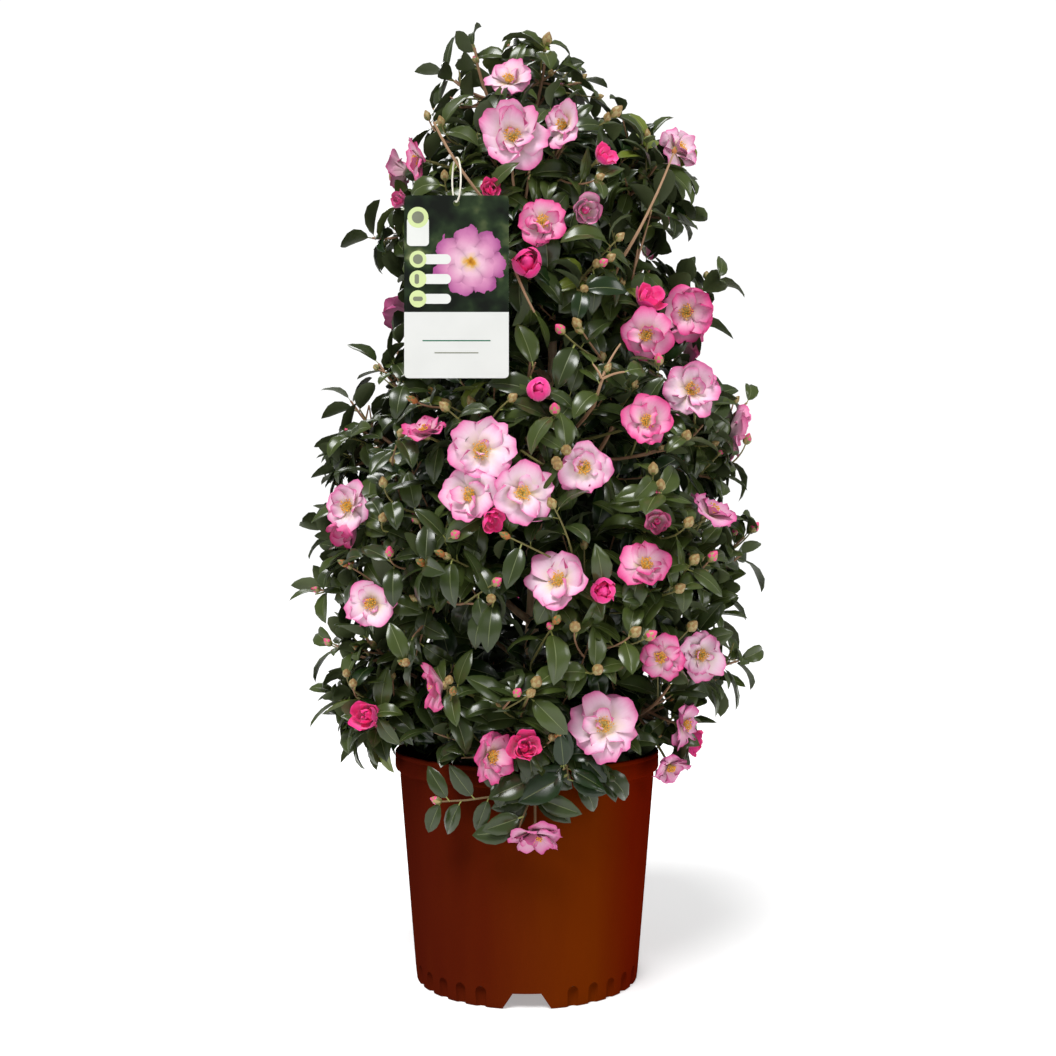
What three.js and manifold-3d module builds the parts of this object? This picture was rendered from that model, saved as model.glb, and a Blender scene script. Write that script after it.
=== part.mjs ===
// A columnar autumn camellia in bloom, in its round nursery pot, with a plain plant label.
// Millimetres, +Z up. The origin is on the ground under the middle of the pot, and the
// plant is looked at from the -Y side, with +X to the right.
import * as THREE from 'three';
import { mergeVertices } from 'three/addons/utils/BufferGeometryUtils.js';
import Module from 'manifold-3d';

const wasm = await Module();
wasm.setup();

// Pot
const POT_HEIGHT = 240;
const POT_RIM_RADIUS = 140;
const POT_BASE_RADIUS = 117.5;
const POT_WALL = 2.8;
const POT_SIDES = 36;
const POT_EDGE = 1.5;
const RIM_WIDTH = 4.5;
const LIP_HEIGHT = 21;
const LIP_PROUD = 4.7;
const FOOT_WALL = 9;
const FLOOR_HEIGHT = 19;
const FLUTE_PLACES = 32;
const FLUTE_RADIUS = 5;
const FLUTE_HEIGHT = 18;
const FLUTE_DEPTH = 3.6;
const FLUTE_BELOW = 2;
const NOTCH_COUNT = 4;
const NOTCH_HEIGHT = 16;
const NOTCH_WIDTH_LOW = 51;
const NOTCH_WIDTH_HIGH = 28;
const NOTCH_CUT = 40;
const NOTCH_INSIDE = 0.7;
const DRAIN_RADIUS = 7;
const DRAIN_RING = 78;
const DRAIN_CUT = 12;

// Potting mix
const SOIL_EDGE_HEIGHT = 206;
const SOIL_HEART_HEIGHT = 212;
const SOIL_MIDDLE = [90, 209];
const SOIL_SIDES = 24;

// Clearance between pieces that touch on the real plant, and what foliage keeps from each
const TOUCH = 0.3;
const LIMB_ROOM = 0.6;
const TIE_ROOM = 0.5;
const LABEL_ROOM = 3;
const BLOSSOM_ROOM = 1.5;

// Stem: centreline points and radii, from just under its flat cut on the soil to the tip in
// the top mass
const STEM_LINE = [
  [0, 0, SOIL_HEART_HEIGHT - 8],
  [1, -3, 240],
  [3, -6, 300],
  [6, -8, 380],
  [15, -8, 560],
  [27, -6, 645],
  [20, 0, 760],
  [0, 4, 860],
  [-10, 2, 918],
];
const STEM_RADII = [14, 9.5, 8, 7, 5.6, 5, 4.4, 3.6, 3.2];
const STEM_SIDES = 8;
const STEM_SEGMENTS = 16;
const CUT_BLOCK = 80;

// Crown outline seen from the front: height, reach to the left and reach to the right of the axis
const CROWN_OUTLINE = [
  [205, 158, 162],
  [240, 185, 178],
  [300, 212, 195],
  [360, 218, 214],
  [430, 216, 228],
  [500, 230, 238],
  [570, 218, 230],
  [625, 178, 218],
  [680, 166, 194],
  [740, 158, 192],
  [800, 152, 180],
  [860, 144, 178],
  [900, 116, 146],
  [945, 78, 84],
  [985, 44, 48],
  [1006, 14, 16],
];

// Tiers of foliage: how high, how far from the axis, how many round it, and where the first one stands
const TIERS = [
  { name: 'skirt', height: 300, ring: 106, count: 5, turn: -90, rise: 50 },
  { name: 'lower', height: 436, ring: 108, count: 5, turn: -54, rise: 96 },
  { name: 'middle', height: 574, ring: 98, count: 4, turn: -82, rise: 100 },
  { name: 'upper', height: 708, ring: 78, count: 4, turn: -38, rise: 96 },
  { name: 'shoulder', height: 832, ring: 60, count: 3, turn: -92, rise: 80 },
];
const TOP_MASS_HEART = [-12, 2, 944];
const TIER_STAGGER = 62;

// Boughs and the stems inside the masses
const BOUGH_RADIUS = 4.6;
const BOUGH_TIP_RADIUS = 2.8;
const BOUGH_SIDES = 5;
const BOUGH_STEP = 11;
const BOUGH_SAG = 6;
const BOUGH_END_SHARE = 0.42;
const ENTRY_DEPTH = 3;
const ENTRY_RUN = 8;

// Rough cores: their share of a mass's own space, and how far under the crown's outline they stay
const CORE_SHARE = 0.9;
const CORE_DEPTH = 48;
const CORE_INNER_SHARE = 0.55;
const CORE_LEAST = 10;
const CORE_MOST = 120;

// Twigs and leaves
const TWIG_COUNT = 110;
const TWIG_RADIUS = 2.6;
const TWIG_TIP_RADIUS = 2;
const TWIG_SIDES = 3;
const LEAF_LENGTH = 74;
const TIP_LEAF_LENGTH = 60;
const LEAF_WIDTH = 36;
const LEAF_THICKNESS = 3.2;
const LEAF_FOLD = 3;
const LEAF_ANGLE = 52;
const LEAF_SUNK = 1.2;
const LEAF_BROADEST = 0.46;
const LEAF_PLACES = [1, 0.9, 0.78, 0.66];
const TWIG_LEAST_LENGTH = 18;
const TIP_DEPTH = 22;
const TIP_SWING = 12;
const GOLDEN_ANGLE = 137.508;
const CELL_MARGIN = 0.8;

// Seeds of the number streams of the tips, the twigs and the blossoms at the back
const TIP_SEED = 0;
const TWIG_SEED = 500;
const BLOSSOM_SEED = 7000;

// Where the plant is looked at from, for what is placed as seen from the front
const VIEW_DISTANCE = 1350;
const VIEW_HEIGHT = 430;
const VIEW_NEAREST = 0.8;
const VIEW_STEPS = 300;

// Blossoms as seen from the front: across, height, width, form, turn to the right and tilt upward
const FRONT_BLOSSOMS = [
  [-16, 899, 62, 'open', -5, 8],
  [-19, 959, 44, 'open', 0, 30],
  [36, 909, 46, 'open', -38, 10],
  [-122, 868, 42, 'open', -60, -15],
  [167, 884, 52, 'open', 42, 18],
  [17, 804, 46, 'open', 5, 0],
  [64, 815, 32, 'cup', 10, -20],
  [83, 874, 24, 'cup', 35, 20],
  [0, 759, 30, 'ball', 0, 0],
  [130, 722, 34, 'cup', 30, 40],
  [169, 707, 56, 'open', -22, 0],
  [127, 682, 46, 'open', -10, -8],
  [178, 625, 54, 'open', 10, 10],
  [130, 590, 48, 'open', 10, 5],
  [14, 624, 28, 'ball', 0, 0],
  [-110, 583, 42, 'open', -20, 52],
  [-49, 559, 60, 'open', 8, 0],
  [-64, 510, 52, 'open', -22, -4],
  [-4, 512, 56, 'open', 6, -6],
  [-38, 483, 26, 'cup', 20, -25],
  [61, 540, 46, 'open', -8, 0],
  [-195, 499, 48, 'open', -20, 10],
  [-195, 470, 34, 'cup', -40, -40],
  [-169, 394, 48, 'open', -12, 0],
  [32, 422, 56, 'open', -15, 24],
  [129, 438, 48, 'open', 16, 20],
  [82, 407, 26, 'ball', 0, 0],
  [140, 481, 26, 'cup', 0, -10],
  [202, 497, 48, 'open', 38, 42],
  [188, 339, 50, 'open', 8, 5],
  [142, 336, 42, 'open', -22, 0],
  [82, 265, 62, 'open', -10, 20],
  [174, 264, 46, 'open', 58, 0],
  [-103, 306, 52, 'open', -72, 0],
  [-172, 274, 36, 'cup', -20, 10],
  [-34, 230, 48, 'open', 48, 0],
  [-2, 240, 36, 'cup', 10, 10],
  [155, 215, 40, 'open', 30, -50],
  [9, 139, 54, 'open', 0, -62],
  [-40, 838, 24, 'cup', 0, 0],
  [-137, 826, 22, 'cup', -40, 0],
];

// Blossoms round the back: how many, over which part of a turn, how low, and their sizes
const BACK_BLOSSOMS = {
  count: 20, spread: 196, lowest: 250, openShare: 0.72, open: [44, 62], cup: [26, 34],
};
const BLOSSOM_INSET = 4;

// Smaller blossoms and buds than this don't show from a step away
const BLOSSOM_LEAST_WIDTH = 40;
const BLOSSOM_DEPTH = { open: 0.45, cup: 0.8, ball: 1 };

// A blossom further than this from a mass's heart can't reach into it
const BLOSSOM_FAR = 260;

// Furthest tips of the outline, left and right, seen from the front
const OUTLINE_TIPS = [
  [-111, 975], [-119, 912], [-166, 868], [-195, 780], [-176, 668], [-209, 633],
  [-226, 566], [-230, 526], [-242, 484], [-222, 441], [-250, 398], [-229, 356],
  [-231, 300], [-206, 268], [-190, 240], [84, 950], [130, 905], [190, 868],
  [190, 800], [226, 752], [204, 700], [260, 624], [242, 569], [248, 548],
  [258, 482], [256, 458], [236, 405], [226, 372], [252, 334], [226, 306],
  [196, 262], [-22, 1006], [16, 992],
];

// Furthest tips at the back: depth and height
const BACK_TIPS = [[238, 486], [216, 590], [206, 330]];

// The sprays that hang over the rim at the front
const HANGING_TIPS = [[-92, 160], [-56, 136], [44, 172], [106, 200], [-128, 204]];
const HANGING_REACH = 170;
const HANGING_BEND_HEIGHT = 272;
const HANGING_TOP = 212;

// Label and its tie
const LABEL_WIDTH = 95;
const LABEL_HEIGHT = 166;
const LABEL_THICKNESS = 0.9;
const LABEL_CORNER = 4;
const LABEL_HOLE_RADIUS = 3;
const LABEL_CENTRE = [-64, -204];
const LABEL_HOLE_DOWN = 4;
const HOLE_PLAY = 0.5;
const TIE_TURN = 40;
const TIE_HALF_HEIGHT = 20;
const TIE_HALF_WIDTH = 6.5;
const TIE_RADIUS = 0.8;
const TIE_SEGMENTS = 20;

// The twig that carries the label: it leaves the mass called shoulder_1, and the tie hangs
// over its third point
const TIE_MASS = 'shoulder_1';
const TIE_TWIG_RADIUS = 1.9;
const TIE_HANG = 4.7;
const TIE_LEAF_SHARE = 0.5;
const TIE_LEAF_ROLLS = [20, 200];
const TIE_TWIG_LINE = [
  [-12, -100, 770],
  [-38, -176, 772],
  [-64, -204, 800],
  [-84, -212, 834],
];

const LEAST_OVERLAP = 1e-6;
const DEGREES = Math.PI / 180;
const UP = new THREE.Vector3(0, 0, 1);

const materials = {
  pot: new THREE.MeshStandardMaterial({ color: 0x6e2c14, roughness: 0.45, metalness: 0 }),
  soil: new THREE.MeshStandardMaterial({ color: 0x2a1c13, roughness: 0.95, metalness: 0 }),
  bark: new THREE.MeshStandardMaterial({ color: 0x8a6a4e, roughness: 0.8, metalness: 0 }),
  foliage: new THREE.MeshStandardMaterial({ color: 0x24381f, roughness: 0.35, metalness: 0 }),
  label: new THREE.MeshStandardMaterial({ color: 0xf4f4f0, roughness: 0.5, metalness: 0 }),
  tie: new THREE.MeshStandardMaterial({ color: 0xe8e4d8, roughness: 0.6, metalness: 0 }),
};

// A repeatable stream of numbers from 0 to 1
function numberStream(seed) {
  let state = (seed * 2654435761 + 12345) % 4294967296;
  return () => {
    state = (state * 1664525 + 1013904223) % 4294967296;
    return state / 4294967296;
  };
}

function vector(list) {
  return new THREE.Vector3(...list);
}

// Solids

// A geometry as bare shared vertices, with the empty triangles at a pole dropped
function bare(geometry) {
  geometry.deleteAttribute('normal');
  geometry.deleteAttribute('uv');
  const merged = mergeVertices(geometry, 1e-4);
  const corners = merged.index.array;
  const index = [];
  for (let i = 0; i < corners.length; i += 3) {
    const [a, b, c] = corners.slice(i, i + 3);
    if (a !== b && b !== c && c !== a) index.push(a, b, c);
  }
  merged.setIndex(index);
  return merged;
}

function solidOf(geometry) {
  return new wasm.Manifold(new wasm.Mesh({
    numProp: 3,
    vertProperties: geometry.attributes.position.array,
    triVerts: new Uint32Array(geometry.index.array),
  }));
}

function geometryOf(solid) {
  const mesh = solid.getMesh();
  const geometry = new THREE.BufferGeometry();
  geometry.setAttribute('position', new THREE.BufferAttribute(new Float32Array(mesh.vertProperties), 3));
  geometry.setIndex(new THREE.BufferAttribute(new Uint32Array(mesh.triVerts), 1));
  return geometry;
}

function joined(solids) {
  return solids.reduce((sum, solid) => sum.add(solid));
}

function biggestPiece(solid) {
  const pieces = solid.decompose();
  return pieces.reduce((best, piece) => (piece.volume() > best.volume() ? piece : best));
}

function touches(solid, others) {
  return others.some((other) => solid.intersect(other).volume() > LEAST_OVERLAP);
}

function revolved(profile, sides) {
  const points = profile.map(([radius, height]) => new THREE.Vector2(radius, height));
  return bare(new THREE.LatheGeometry(points, sides).rotateX(Math.PI / 2));
}

// A cylinder bent along a curve, with a radius for each point of the curve
function limb(points, radii, sides, segments) {
  const curve = new THREE.CatmullRomCurve3(points);
  const frames = curve.computeFrenetFrames(segments);
  const geometry = bare(new THREE.CylinderGeometry(1, 1, 1, sides, segments));
  const position = geometry.attributes.position;
  for (let i = 0; i < position.count; i++) {
    const along = 0.5 - position.getY(i);
    const ring = Math.round(along * segments);
    const centre = curve.getPoint(along);
    const step = along * (radii.length - 1);
    const low = Math.min(Math.floor(step), radii.length - 2);
    const radius = radii[low] + (radii[low + 1] - radii[low]) * (step - low);
    centre.addScaledVector(frames.normals[ring], position.getX(i) * radius);
    centre.addScaledVector(frames.binormals[ring], position.getZ(i) * radius);
    position.setXYZ(i, centre.x, centre.y, centre.z);
  }
  return geometry;
}

// Crown outline

function crownReach(azimuth, height) {
  const rows = CROWN_OUTLINE;
  const first = rows[0];
  const last = rows[rows.length - 1];
  const share = (1 + Math.cos(azimuth)) / 2;
  const reachOf = ([, left, right]) => left * (1 - share) + right * share;
  if (height <= first[0]) return reachOf(first);
  if (height >= last[0]) return reachOf(last);
  const upper = rows.findIndex((row) => row[0] > height);
  const t = (height - rows[upper - 1][0]) / (rows[upper][0] - rows[upper - 1][0]);
  return reachOf(rows[upper - 1]) * (1 - t) + reachOf(rows[upper]) * t;
}

// Heights that share the crown's surface evenly
function evenHeights(count) {
  const steps = 400;
  const low = CROWN_OUTLINE[0][0];
  const high = CROWN_OUTLINE[CROWN_OUTLINE.length - 1][0];
  const reachAt = (height) => crownReach(Math.PI / 2, height);
  const total = [0];
  for (let i = 1; i <= steps; i++) {
    const height = low + (high - low) * (i / steps);
    const before = low + (high - low) * ((i - 1) / steps);
    const slope = Math.hypot(height - before, reachAt(height) - reachAt(before));
    total.push(total[i - 1] + slope * reachAt(height));
  }
  return Array.from({ length: count }, (_, k) => {
    const wanted = total[steps] * ((k + 0.5) / count);
    const found = total.findIndex((area) => area >= wanted);
    return low + (high - low) * (found / steps);
  });
}

// Masses: where each one's heart is, and the half-spaces that bound its own space

function massList() {
  const masses = [];
  for (const tier of TIERS) {
    for (let k = 0; k < tier.count; k++) {
      const azimuth = (tier.turn + (360 / tier.count) * k) * DEGREES;
      const heart = new THREE.Vector3(
        tier.ring * Math.cos(azimuth),
        tier.ring * Math.sin(azimuth),
        tier.height + TIER_STAGGER * (((2 * k) % tier.count) / tier.count - 0.4),
      );
      masses.push({ name: `${tier.name}_${k + 1}`, heart, tier, place: (2 * k) % tier.count });
    }
  }
  masses.push({ name: 'top', heart: vector(TOP_MASS_HEART) });
  for (const mass of masses) {
    mass.walls = masses.filter((other) => other !== mass).map((other) => {
      const normal = other.heart.clone().sub(mass.heart).normalize();
      const middle = other.heart.clone().add(mass.heart).multiplyScalar(0.5);
      return { normal, limit: normal.dot(middle) - CELL_MARGIN };
    });
  }
  return masses;
}

const masses = massList();

function massAt(point) {
  return masses.reduce((best, mass) =>
    (mass.heart.distanceTo(point) < best.heart.distanceTo(point) ? mass : best));
}

function inSpace(mass, points) {
  return points.every((point) => mass.walls.every((wall) => wall.normal.dot(point) < wall.limit));
}

// Stem and boughs

const stemPoints = STEM_LINE.map(vector);
const stemCurve = new THREE.CatmullRomCurve3(stemPoints);

function stemAt(height) {
  let low = 0;
  let high = 1;
  for (let i = 0; i < 40; i++) {
    const middle = (low + high) / 2;
    if (stemCurve.getPoint(middle).z < height) low = middle;
    else high = middle;
  }
  return stemCurve.getPoint(low);
}

function stemSolid(extra) {
  const radii = STEM_RADII.map((radius) => radius + extra);
  const points = stemPoints.map((point) => point.clone());
  const [before, tip] = points.slice(-2);
  tip.addScaledVector(tip.clone().sub(before).normalize(), extra);
  const below = bare(new THREE.BoxGeometry(CUT_BLOCK, CUT_BLOCK, CUT_BLOCK));
  below.translate(0, 0, SOIL_HEART_HEIGHT + TOUCH - CUT_BLOCK / 2);
  return solidOf(limb(points, radii, STEM_SIDES, STEM_SEGMENTS)).subtract(solidOf(below));
}

// A bough leaves the stem steeply, each a little higher than the last, bends outward and
// ends where it enters its mass
function boughPoints(mass) {
  const start = stemAt(mass.heart.z - mass.tier.rise + BOUGH_STEP * (mass.place - 1));
  const back = start.clone().sub(mass.heart).normalize();
  const end = mass.heart.clone().addScaledVector(back, mass.tier.ring * BOUGH_END_SHARE);
  const bend = start.clone().lerp(end, 0.5);
  bend.z -= BOUGH_SAG;
  return [start, bend, end];
}

function boughSolid(mass, extra) {
  const points = boughPoints(mass);
  const way = points[2].clone().sub(points[1]).normalize();
  points[2].addScaledVector(way, extra);
  return solidOf(limb(points, [BOUGH_RADIUS + extra, BOUGH_TIP_RADIUS + extra], BOUGH_SIDES, 2));
}

// Leaves, twigs and blossoms

// The eight faces of an octahedron drawn out into a folded blade, its root at the given point
function leafGeometry(root, direction, facing, length, width) {
  const along = direction.clone().normalize();
  const up = facing.clone().addScaledVector(along, -facing.dot(along)).normalize();
  const side = new THREE.Vector3().crossVectors(along, up);
  const geometry = bare(new THREE.OctahedronGeometry(1));
  const position = geometry.attributes.position;
  for (let i = 0; i < position.count; i++) {
    const x = Math.round(position.getX(i));
    const y = Math.round(position.getY(i));
    const z = Math.round(position.getZ(i));
    const point = root.clone();
    const part = y > 0 ? 1 - LEAF_BROADEST : LEAF_BROADEST;
    point.addScaledVector(along, length * (LEAF_BROADEST + part * y));
    point.addScaledVector(side, (x * width) / 2);
    point.addScaledVector(up, (z * LEAF_THICKNESS) / 2 + Math.abs(x) * LEAF_FOLD);
    position.setXYZ(i, point.x, point.y, point.z);
  }
  return geometry;
}

// Where a twig that hangs over the pot's rim bends down towards its end
function overRim(end) {
  return new THREE.Vector3(end.x, end.y, 0).setLength(HANGING_REACH).setZ(HANGING_BEND_HEIGHT);
}

function twigSolid(points) {
  const segments = points.length === 2 ? 1 : 4;
  return solidOf(limb(points, [TWIG_RADIUS, TWIG_TIP_RADIUS], TWIG_SIDES, segments));
}

// Directions of the leaves along a twig, alternately round it
function leafDirection(tangent, roll) {
  const side = new THREE.Vector3().crossVectors(tangent, UP);
  if (side.length() < 0.05) side.set(1, 0, 0);
  side.normalize();
  const round = side.applyAxisAngle(tangent, roll);
  return tangent.clone().multiplyScalar(Math.cos(LEAF_ANGLE * DEGREES))
    .addScaledVector(round, Math.sin(LEAF_ANGLE * DEGREES)).normalize();
}

function outwardAt(point) {
  const outward = new THREE.Vector3(point.x, point.y, 0).normalize();
  return outward.multiplyScalar(0.75).add(UP).normalize();
}

// A flattened lump across the way that the blossom faces, deeper where it is half shut
function blossomSolid(centre, facing, width, form) {
  const geometry = bare(new THREE.SphereGeometry(width / 2, 6, 2).rotateX(Math.PI / 2));
  geometry.scale(1, 1, BLOSSOM_DEPTH[form]);
  geometry.applyQuaternion(new THREE.Quaternion().setFromUnitVectors(UP, facing));
  geometry.translate(centre.x, centre.y, centre.z);
  return solidOf(geometry);
}

// Where a line of sight through (across, height) in the axis plane meets the crown's near side
function seenOnCrown(across, height, inset) {
  const eye = new THREE.Vector3(0, -VIEW_DISTANCE, VIEW_HEIGHT);
  const ray = new THREE.Vector3(across, VIEW_DISTANCE, height - VIEW_HEIGHT);
  let found = eye.clone().addScaledVector(ray, 1);
  for (let step = 0; step <= VIEW_STEPS; step++) {
    const along = VIEW_NEAREST + (1 - VIEW_NEAREST) * (step / VIEW_STEPS);
    const point = eye.clone().addScaledVector(ray, along);
    const azimuth = Math.atan2(point.y, point.x);
    const reach = point.z < HANGING_TOP ? HANGING_REACH : crownReach(azimuth, point.z);
    if (Math.hypot(point.x, point.y) <= reach - inset) {
      found = point;
      break;
    }
  }
  return found;
}

// The way a blossom faces: outward and towards the viewer, turned and tilted
function facingOf(turn, tilt) {
  const a = turn * DEGREES;
  const b = tilt * DEGREES;
  return new THREE.Vector3(Math.sin(a) * Math.cos(b), -Math.cos(a) * Math.cos(b), Math.sin(b));
}

function blossomList() {
  const list = FRONT_BLOSSOMS.map(([across, height, width, form, turn, tilt]) => ({
    centre: seenOnCrown(across, height, BLOSSOM_INSET),
    facing: facingOf(turn, tilt),
    width,
    form,
  }));
  const { count, spread, lowest, openShare } = BACK_BLOSSOMS;
  const heights = evenHeights(count);
  for (let k = 0; k < count; k++) {
    const next = numberStream(BLOSSOM_SEED + k);
    const azimuth = (90 + ((k * GOLDEN_ANGLE) % spread) - spread / 2) * DEGREES;
    const height = Math.max(heights[k], lowest);
    const reach = crownReach(azimuth, height) - BLOSSOM_INSET;
    const form = next() < openShare ? 'open' : 'cup';
    const [least, most] = BACK_BLOSSOMS[form];
    const width = least + (most - least) * next();
    const swing = azimuth + (next() - 0.5) * 0.9;
    const tilt = (next() - 0.35) * 0.8;
    list.push({
      centre: new THREE.Vector3(reach * Math.cos(azimuth), reach * Math.sin(azimuth), height),
      facing: new THREE.Vector3(
        Math.cos(swing) * Math.cos(tilt), Math.sin(swing) * Math.cos(tilt), Math.sin(tilt)),
      width,
      form,
    });
  }
  return list;
}

// Tips that the twigs reach: an even spread over the crown, then the outline's own tips

function tipList() {
  const tips = [];
  evenHeights(TWIG_COUNT).forEach((height, k) => {
    const next = numberStream(TIP_SEED + k);
    const azimuth = (k * GOLDEN_ANGLE + TIP_SWING * next()) * DEGREES;
    const reach = crownReach(azimuth, height) - TIP_DEPTH * next();
    tips.push(new THREE.Vector3(reach * Math.cos(azimuth), reach * Math.sin(azimuth), height));
  });
  for (const [across, height] of OUTLINE_TIPS) tips.push(new THREE.Vector3(across, 0, height));
  for (const [depth, height] of BACK_TIPS) tips.push(new THREE.Vector3(0, depth, height));
  for (const [across, height] of HANGING_TIPS) tips.push(seenOnCrown(across, height, 0));
  return tips;
}

// Pot, soil, label and tie

function potSolid() {
  const top = POT_HEIGHT;
  const underLip = top - LIP_HEIGHT;
  const bodyTop = POT_RIM_RADIUS - LIP_PROUD;
  const outer = (height) => POT_BASE_RADIUS + ((bodyTop - POT_BASE_RADIUS) * height) / underLip;
  const shell = solidOf(revolved([
    [0, FLOOR_HEIGHT - POT_WALL],
    [outer(FLOOR_HEIGHT) - FOOT_WALL - 2, FLOOR_HEIGHT - POT_WALL],
    [outer(0) - FOOT_WALL, 0],
    [outer(0) - POT_EDGE, 0],
    [outer(POT_EDGE), POT_EDGE],
    [outer(underLip), underLip],
    [POT_RIM_RADIUS, underLip + LIP_PROUD],
    [POT_RIM_RADIUS, top - POT_EDGE],
    [POT_RIM_RADIUS - POT_EDGE, top],
    [POT_RIM_RADIUS - RIM_WIDTH, top],
    [outer(underLip) - POT_WALL, underLip - POT_WALL],
    [outer(FLOOR_HEIGHT) - POT_WALL, FLOOR_HEIGHT],
    [0, FLOOR_HEIGHT],
  ], POT_SIDES));
  const cuts = [];
  const perNotch = FLUTE_PLACES / NOTCH_COUNT;
  for (let place = 0; place < FLUTE_PLACES; place++) {
    const step = place % perNotch;
    if (step < 2 || step === perNotch - 1) continue;
    const azimuth = (-90 + (360 / FLUTE_PLACES) * place) * DEGREES;
    const height = FLUTE_HEIGHT - FLUTE_RADIUS + FLUTE_BELOW;
    const flute = bare(new THREE.CapsuleGeometry(FLUTE_RADIUS, height, 1, 6).rotateX(Math.PI / 2));
    const ring = POT_BASE_RADIUS + FLUTE_RADIUS - FLUTE_DEPTH;
    flute.translate(ring * Math.cos(azimuth), ring * Math.sin(azimuth), height / 2 - FLUTE_BELOW);
    cuts.push(solidOf(flute));
  }
  for (let k = 0; k < NOTCH_COUNT; k++) {
    const outline = new THREE.Shape();
    outline.moveTo(-NOTCH_WIDTH_LOW / 2, -FLUTE_BELOW);
    outline.lineTo(NOTCH_WIDTH_LOW / 2, -FLUTE_BELOW);
    outline.lineTo(NOTCH_WIDTH_HIGH / 2, NOTCH_HEIGHT);
    outline.lineTo(-NOTCH_WIDTH_HIGH / 2, NOTCH_HEIGHT);
    const notch = bare(new THREE.ExtrudeGeometry(outline, { depth: NOTCH_CUT, bevelEnabled: false }));
    notch.rotateX(Math.PI / 2).translate(0, NOTCH_CUT * NOTCH_INSIDE - POT_BASE_RADIUS, 0);
    notch.rotateZ((360 / NOTCH_COUNT) * k * DEGREES);
    cuts.push(solidOf(notch));
    const azimuth = (45 + (360 / NOTCH_COUNT) * k) * DEGREES;
    const drain = bare(new THREE.CylinderGeometry(DRAIN_RADIUS, DRAIN_RADIUS, DRAIN_CUT, 8));
    drain.rotateX(Math.PI / 2);
    drain.translate(DRAIN_RING * Math.cos(azimuth), DRAIN_RING * Math.sin(azimuth), FLOOR_HEIGHT);
    cuts.push(solidOf(drain));
  }
  return cuts.reduce((pot, cut) => pot.subtract(cut), shell);
}

function soilSolid() {
  const underLip = POT_HEIGHT - LIP_HEIGHT;
  const slope = (POT_RIM_RADIUS - LIP_PROUD - POT_BASE_RADIUS) / underLip;
  const inner = (height) => POT_BASE_RADIUS + slope * height - POT_WALL - 2 * TOUCH;
  return solidOf(revolved([
    [0, FLOOR_HEIGHT + TOUCH],
    [inner(FLOOR_HEIGHT), FLOOR_HEIGHT + TOUCH],
    [inner(SOIL_EDGE_HEIGHT), SOIL_EDGE_HEIGHT],
    SOIL_MIDDLE,
    [STEM_RADII[0] + 6, SOIL_HEART_HEIGHT],
    [0, SOIL_HEART_HEIGHT],
  ], SOIL_SIDES));
}

// Room that foliage leaves round the pot
function potRoom() {
  return solidOf(revolved([
    [0, 0],
    [POT_BASE_RADIUS + 1, 0],
    [POT_RIM_RADIUS + 1, POT_HEIGHT - LIP_HEIGHT - 10],
    [POT_RIM_RADIUS + 1, POT_HEIGHT + 1],
    [POT_RIM_RADIUS - 12, POT_HEIGHT + 1],
    [POT_RIM_RADIUS - 16, SOIL_EDGE_HEIGHT + 4],
    [0, SOIL_HEART_HEIGHT + 2],
  ], POT_SIDES));
}

const tiePoint = vector(TIE_TWIG_LINE[2]);
const tieMiddle = tiePoint.z + TIE_HANG - TIE_HALF_HEIGHT;
const holeHeight = tieMiddle - TIE_HALF_HEIGHT + TIE_RADIUS + TOUCH - LABEL_HOLE_RADIUS + HOLE_PLAY;

// The tie is a thin closed loop, drawn as a torus whose ring is stretched into an oval
function tieSolid(extra) {
  const tube = 0.1;
  const geometry = bare(new THREE.TorusGeometry(1, tube, 5, TIE_SEGMENTS));
  const position = geometry.attributes.position;
  for (let i = 0; i < position.count; i++) {
    const x = position.getX(i);
    const y = position.getY(i);
    const turn = Math.atan2(y, x);
    const off = (Math.hypot(x, y) - 1) / tube;
    const round = TIE_RADIUS + extra;
    const across = new THREE.Vector2(
      Math.cos(turn) / TIE_HALF_WIDTH, Math.sin(turn) / TIE_HALF_HEIGHT).normalize();
    position.setXYZ(
      i,
      TIE_HALF_WIDTH * Math.cos(turn) + across.x * off * round,
      TIE_HALF_HEIGHT * Math.sin(turn) + across.y * off * round,
      (position.getZ(i) / tube) * round,
    );
  }
  geometry.rotateX(Math.PI / 2).rotateZ((90 + TIE_TURN) * DEGREES);
  geometry.translate(tiePoint.x, tiePoint.y, tieMiddle);
  return solidOf(geometry);
}

function labelSolid(extra) {
  const [across, depth] = LABEL_CENTRE;
  const half = LABEL_WIDTH / 2 + extra;
  const top = holeHeight + LABEL_HOLE_RADIUS + LABEL_HOLE_DOWN + extra;
  const low = top - LABEL_HEIGHT - 2 * extra;
  const c = LABEL_CORNER;
  const outline = new THREE.Shape();
  outline.moveTo(-half + c, low);
  outline.lineTo(half - c, low);
  outline.absarc(half - c, low + c, c, -Math.PI / 2, 0);
  outline.absarc(half - c, top - c, c, 0, Math.PI / 2);
  outline.absarc(-half + c, top - c, c, Math.PI / 2, Math.PI);
  outline.absarc(-half + c, low + c, c, Math.PI, 1.5 * Math.PI);
  if (extra === 0) {
    const hole = new THREE.Path();
    hole.absarc(0, holeHeight, LABEL_HOLE_RADIUS, 0, 2 * Math.PI, true);
    outline.holes.push(hole);
  }
  const thickness = LABEL_THICKNESS + 2 * extra;
  const extrusion = { depth: thickness, bevelEnabled: false, curveSegments: 4 };
  const geometry = bare(new THREE.ExtrudeGeometry(outline, extrusion));
  geometry.rotateX(Math.PI / 2).translate(across, depth + thickness / 2, 0);
  return solidOf(geometry);
}

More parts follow.
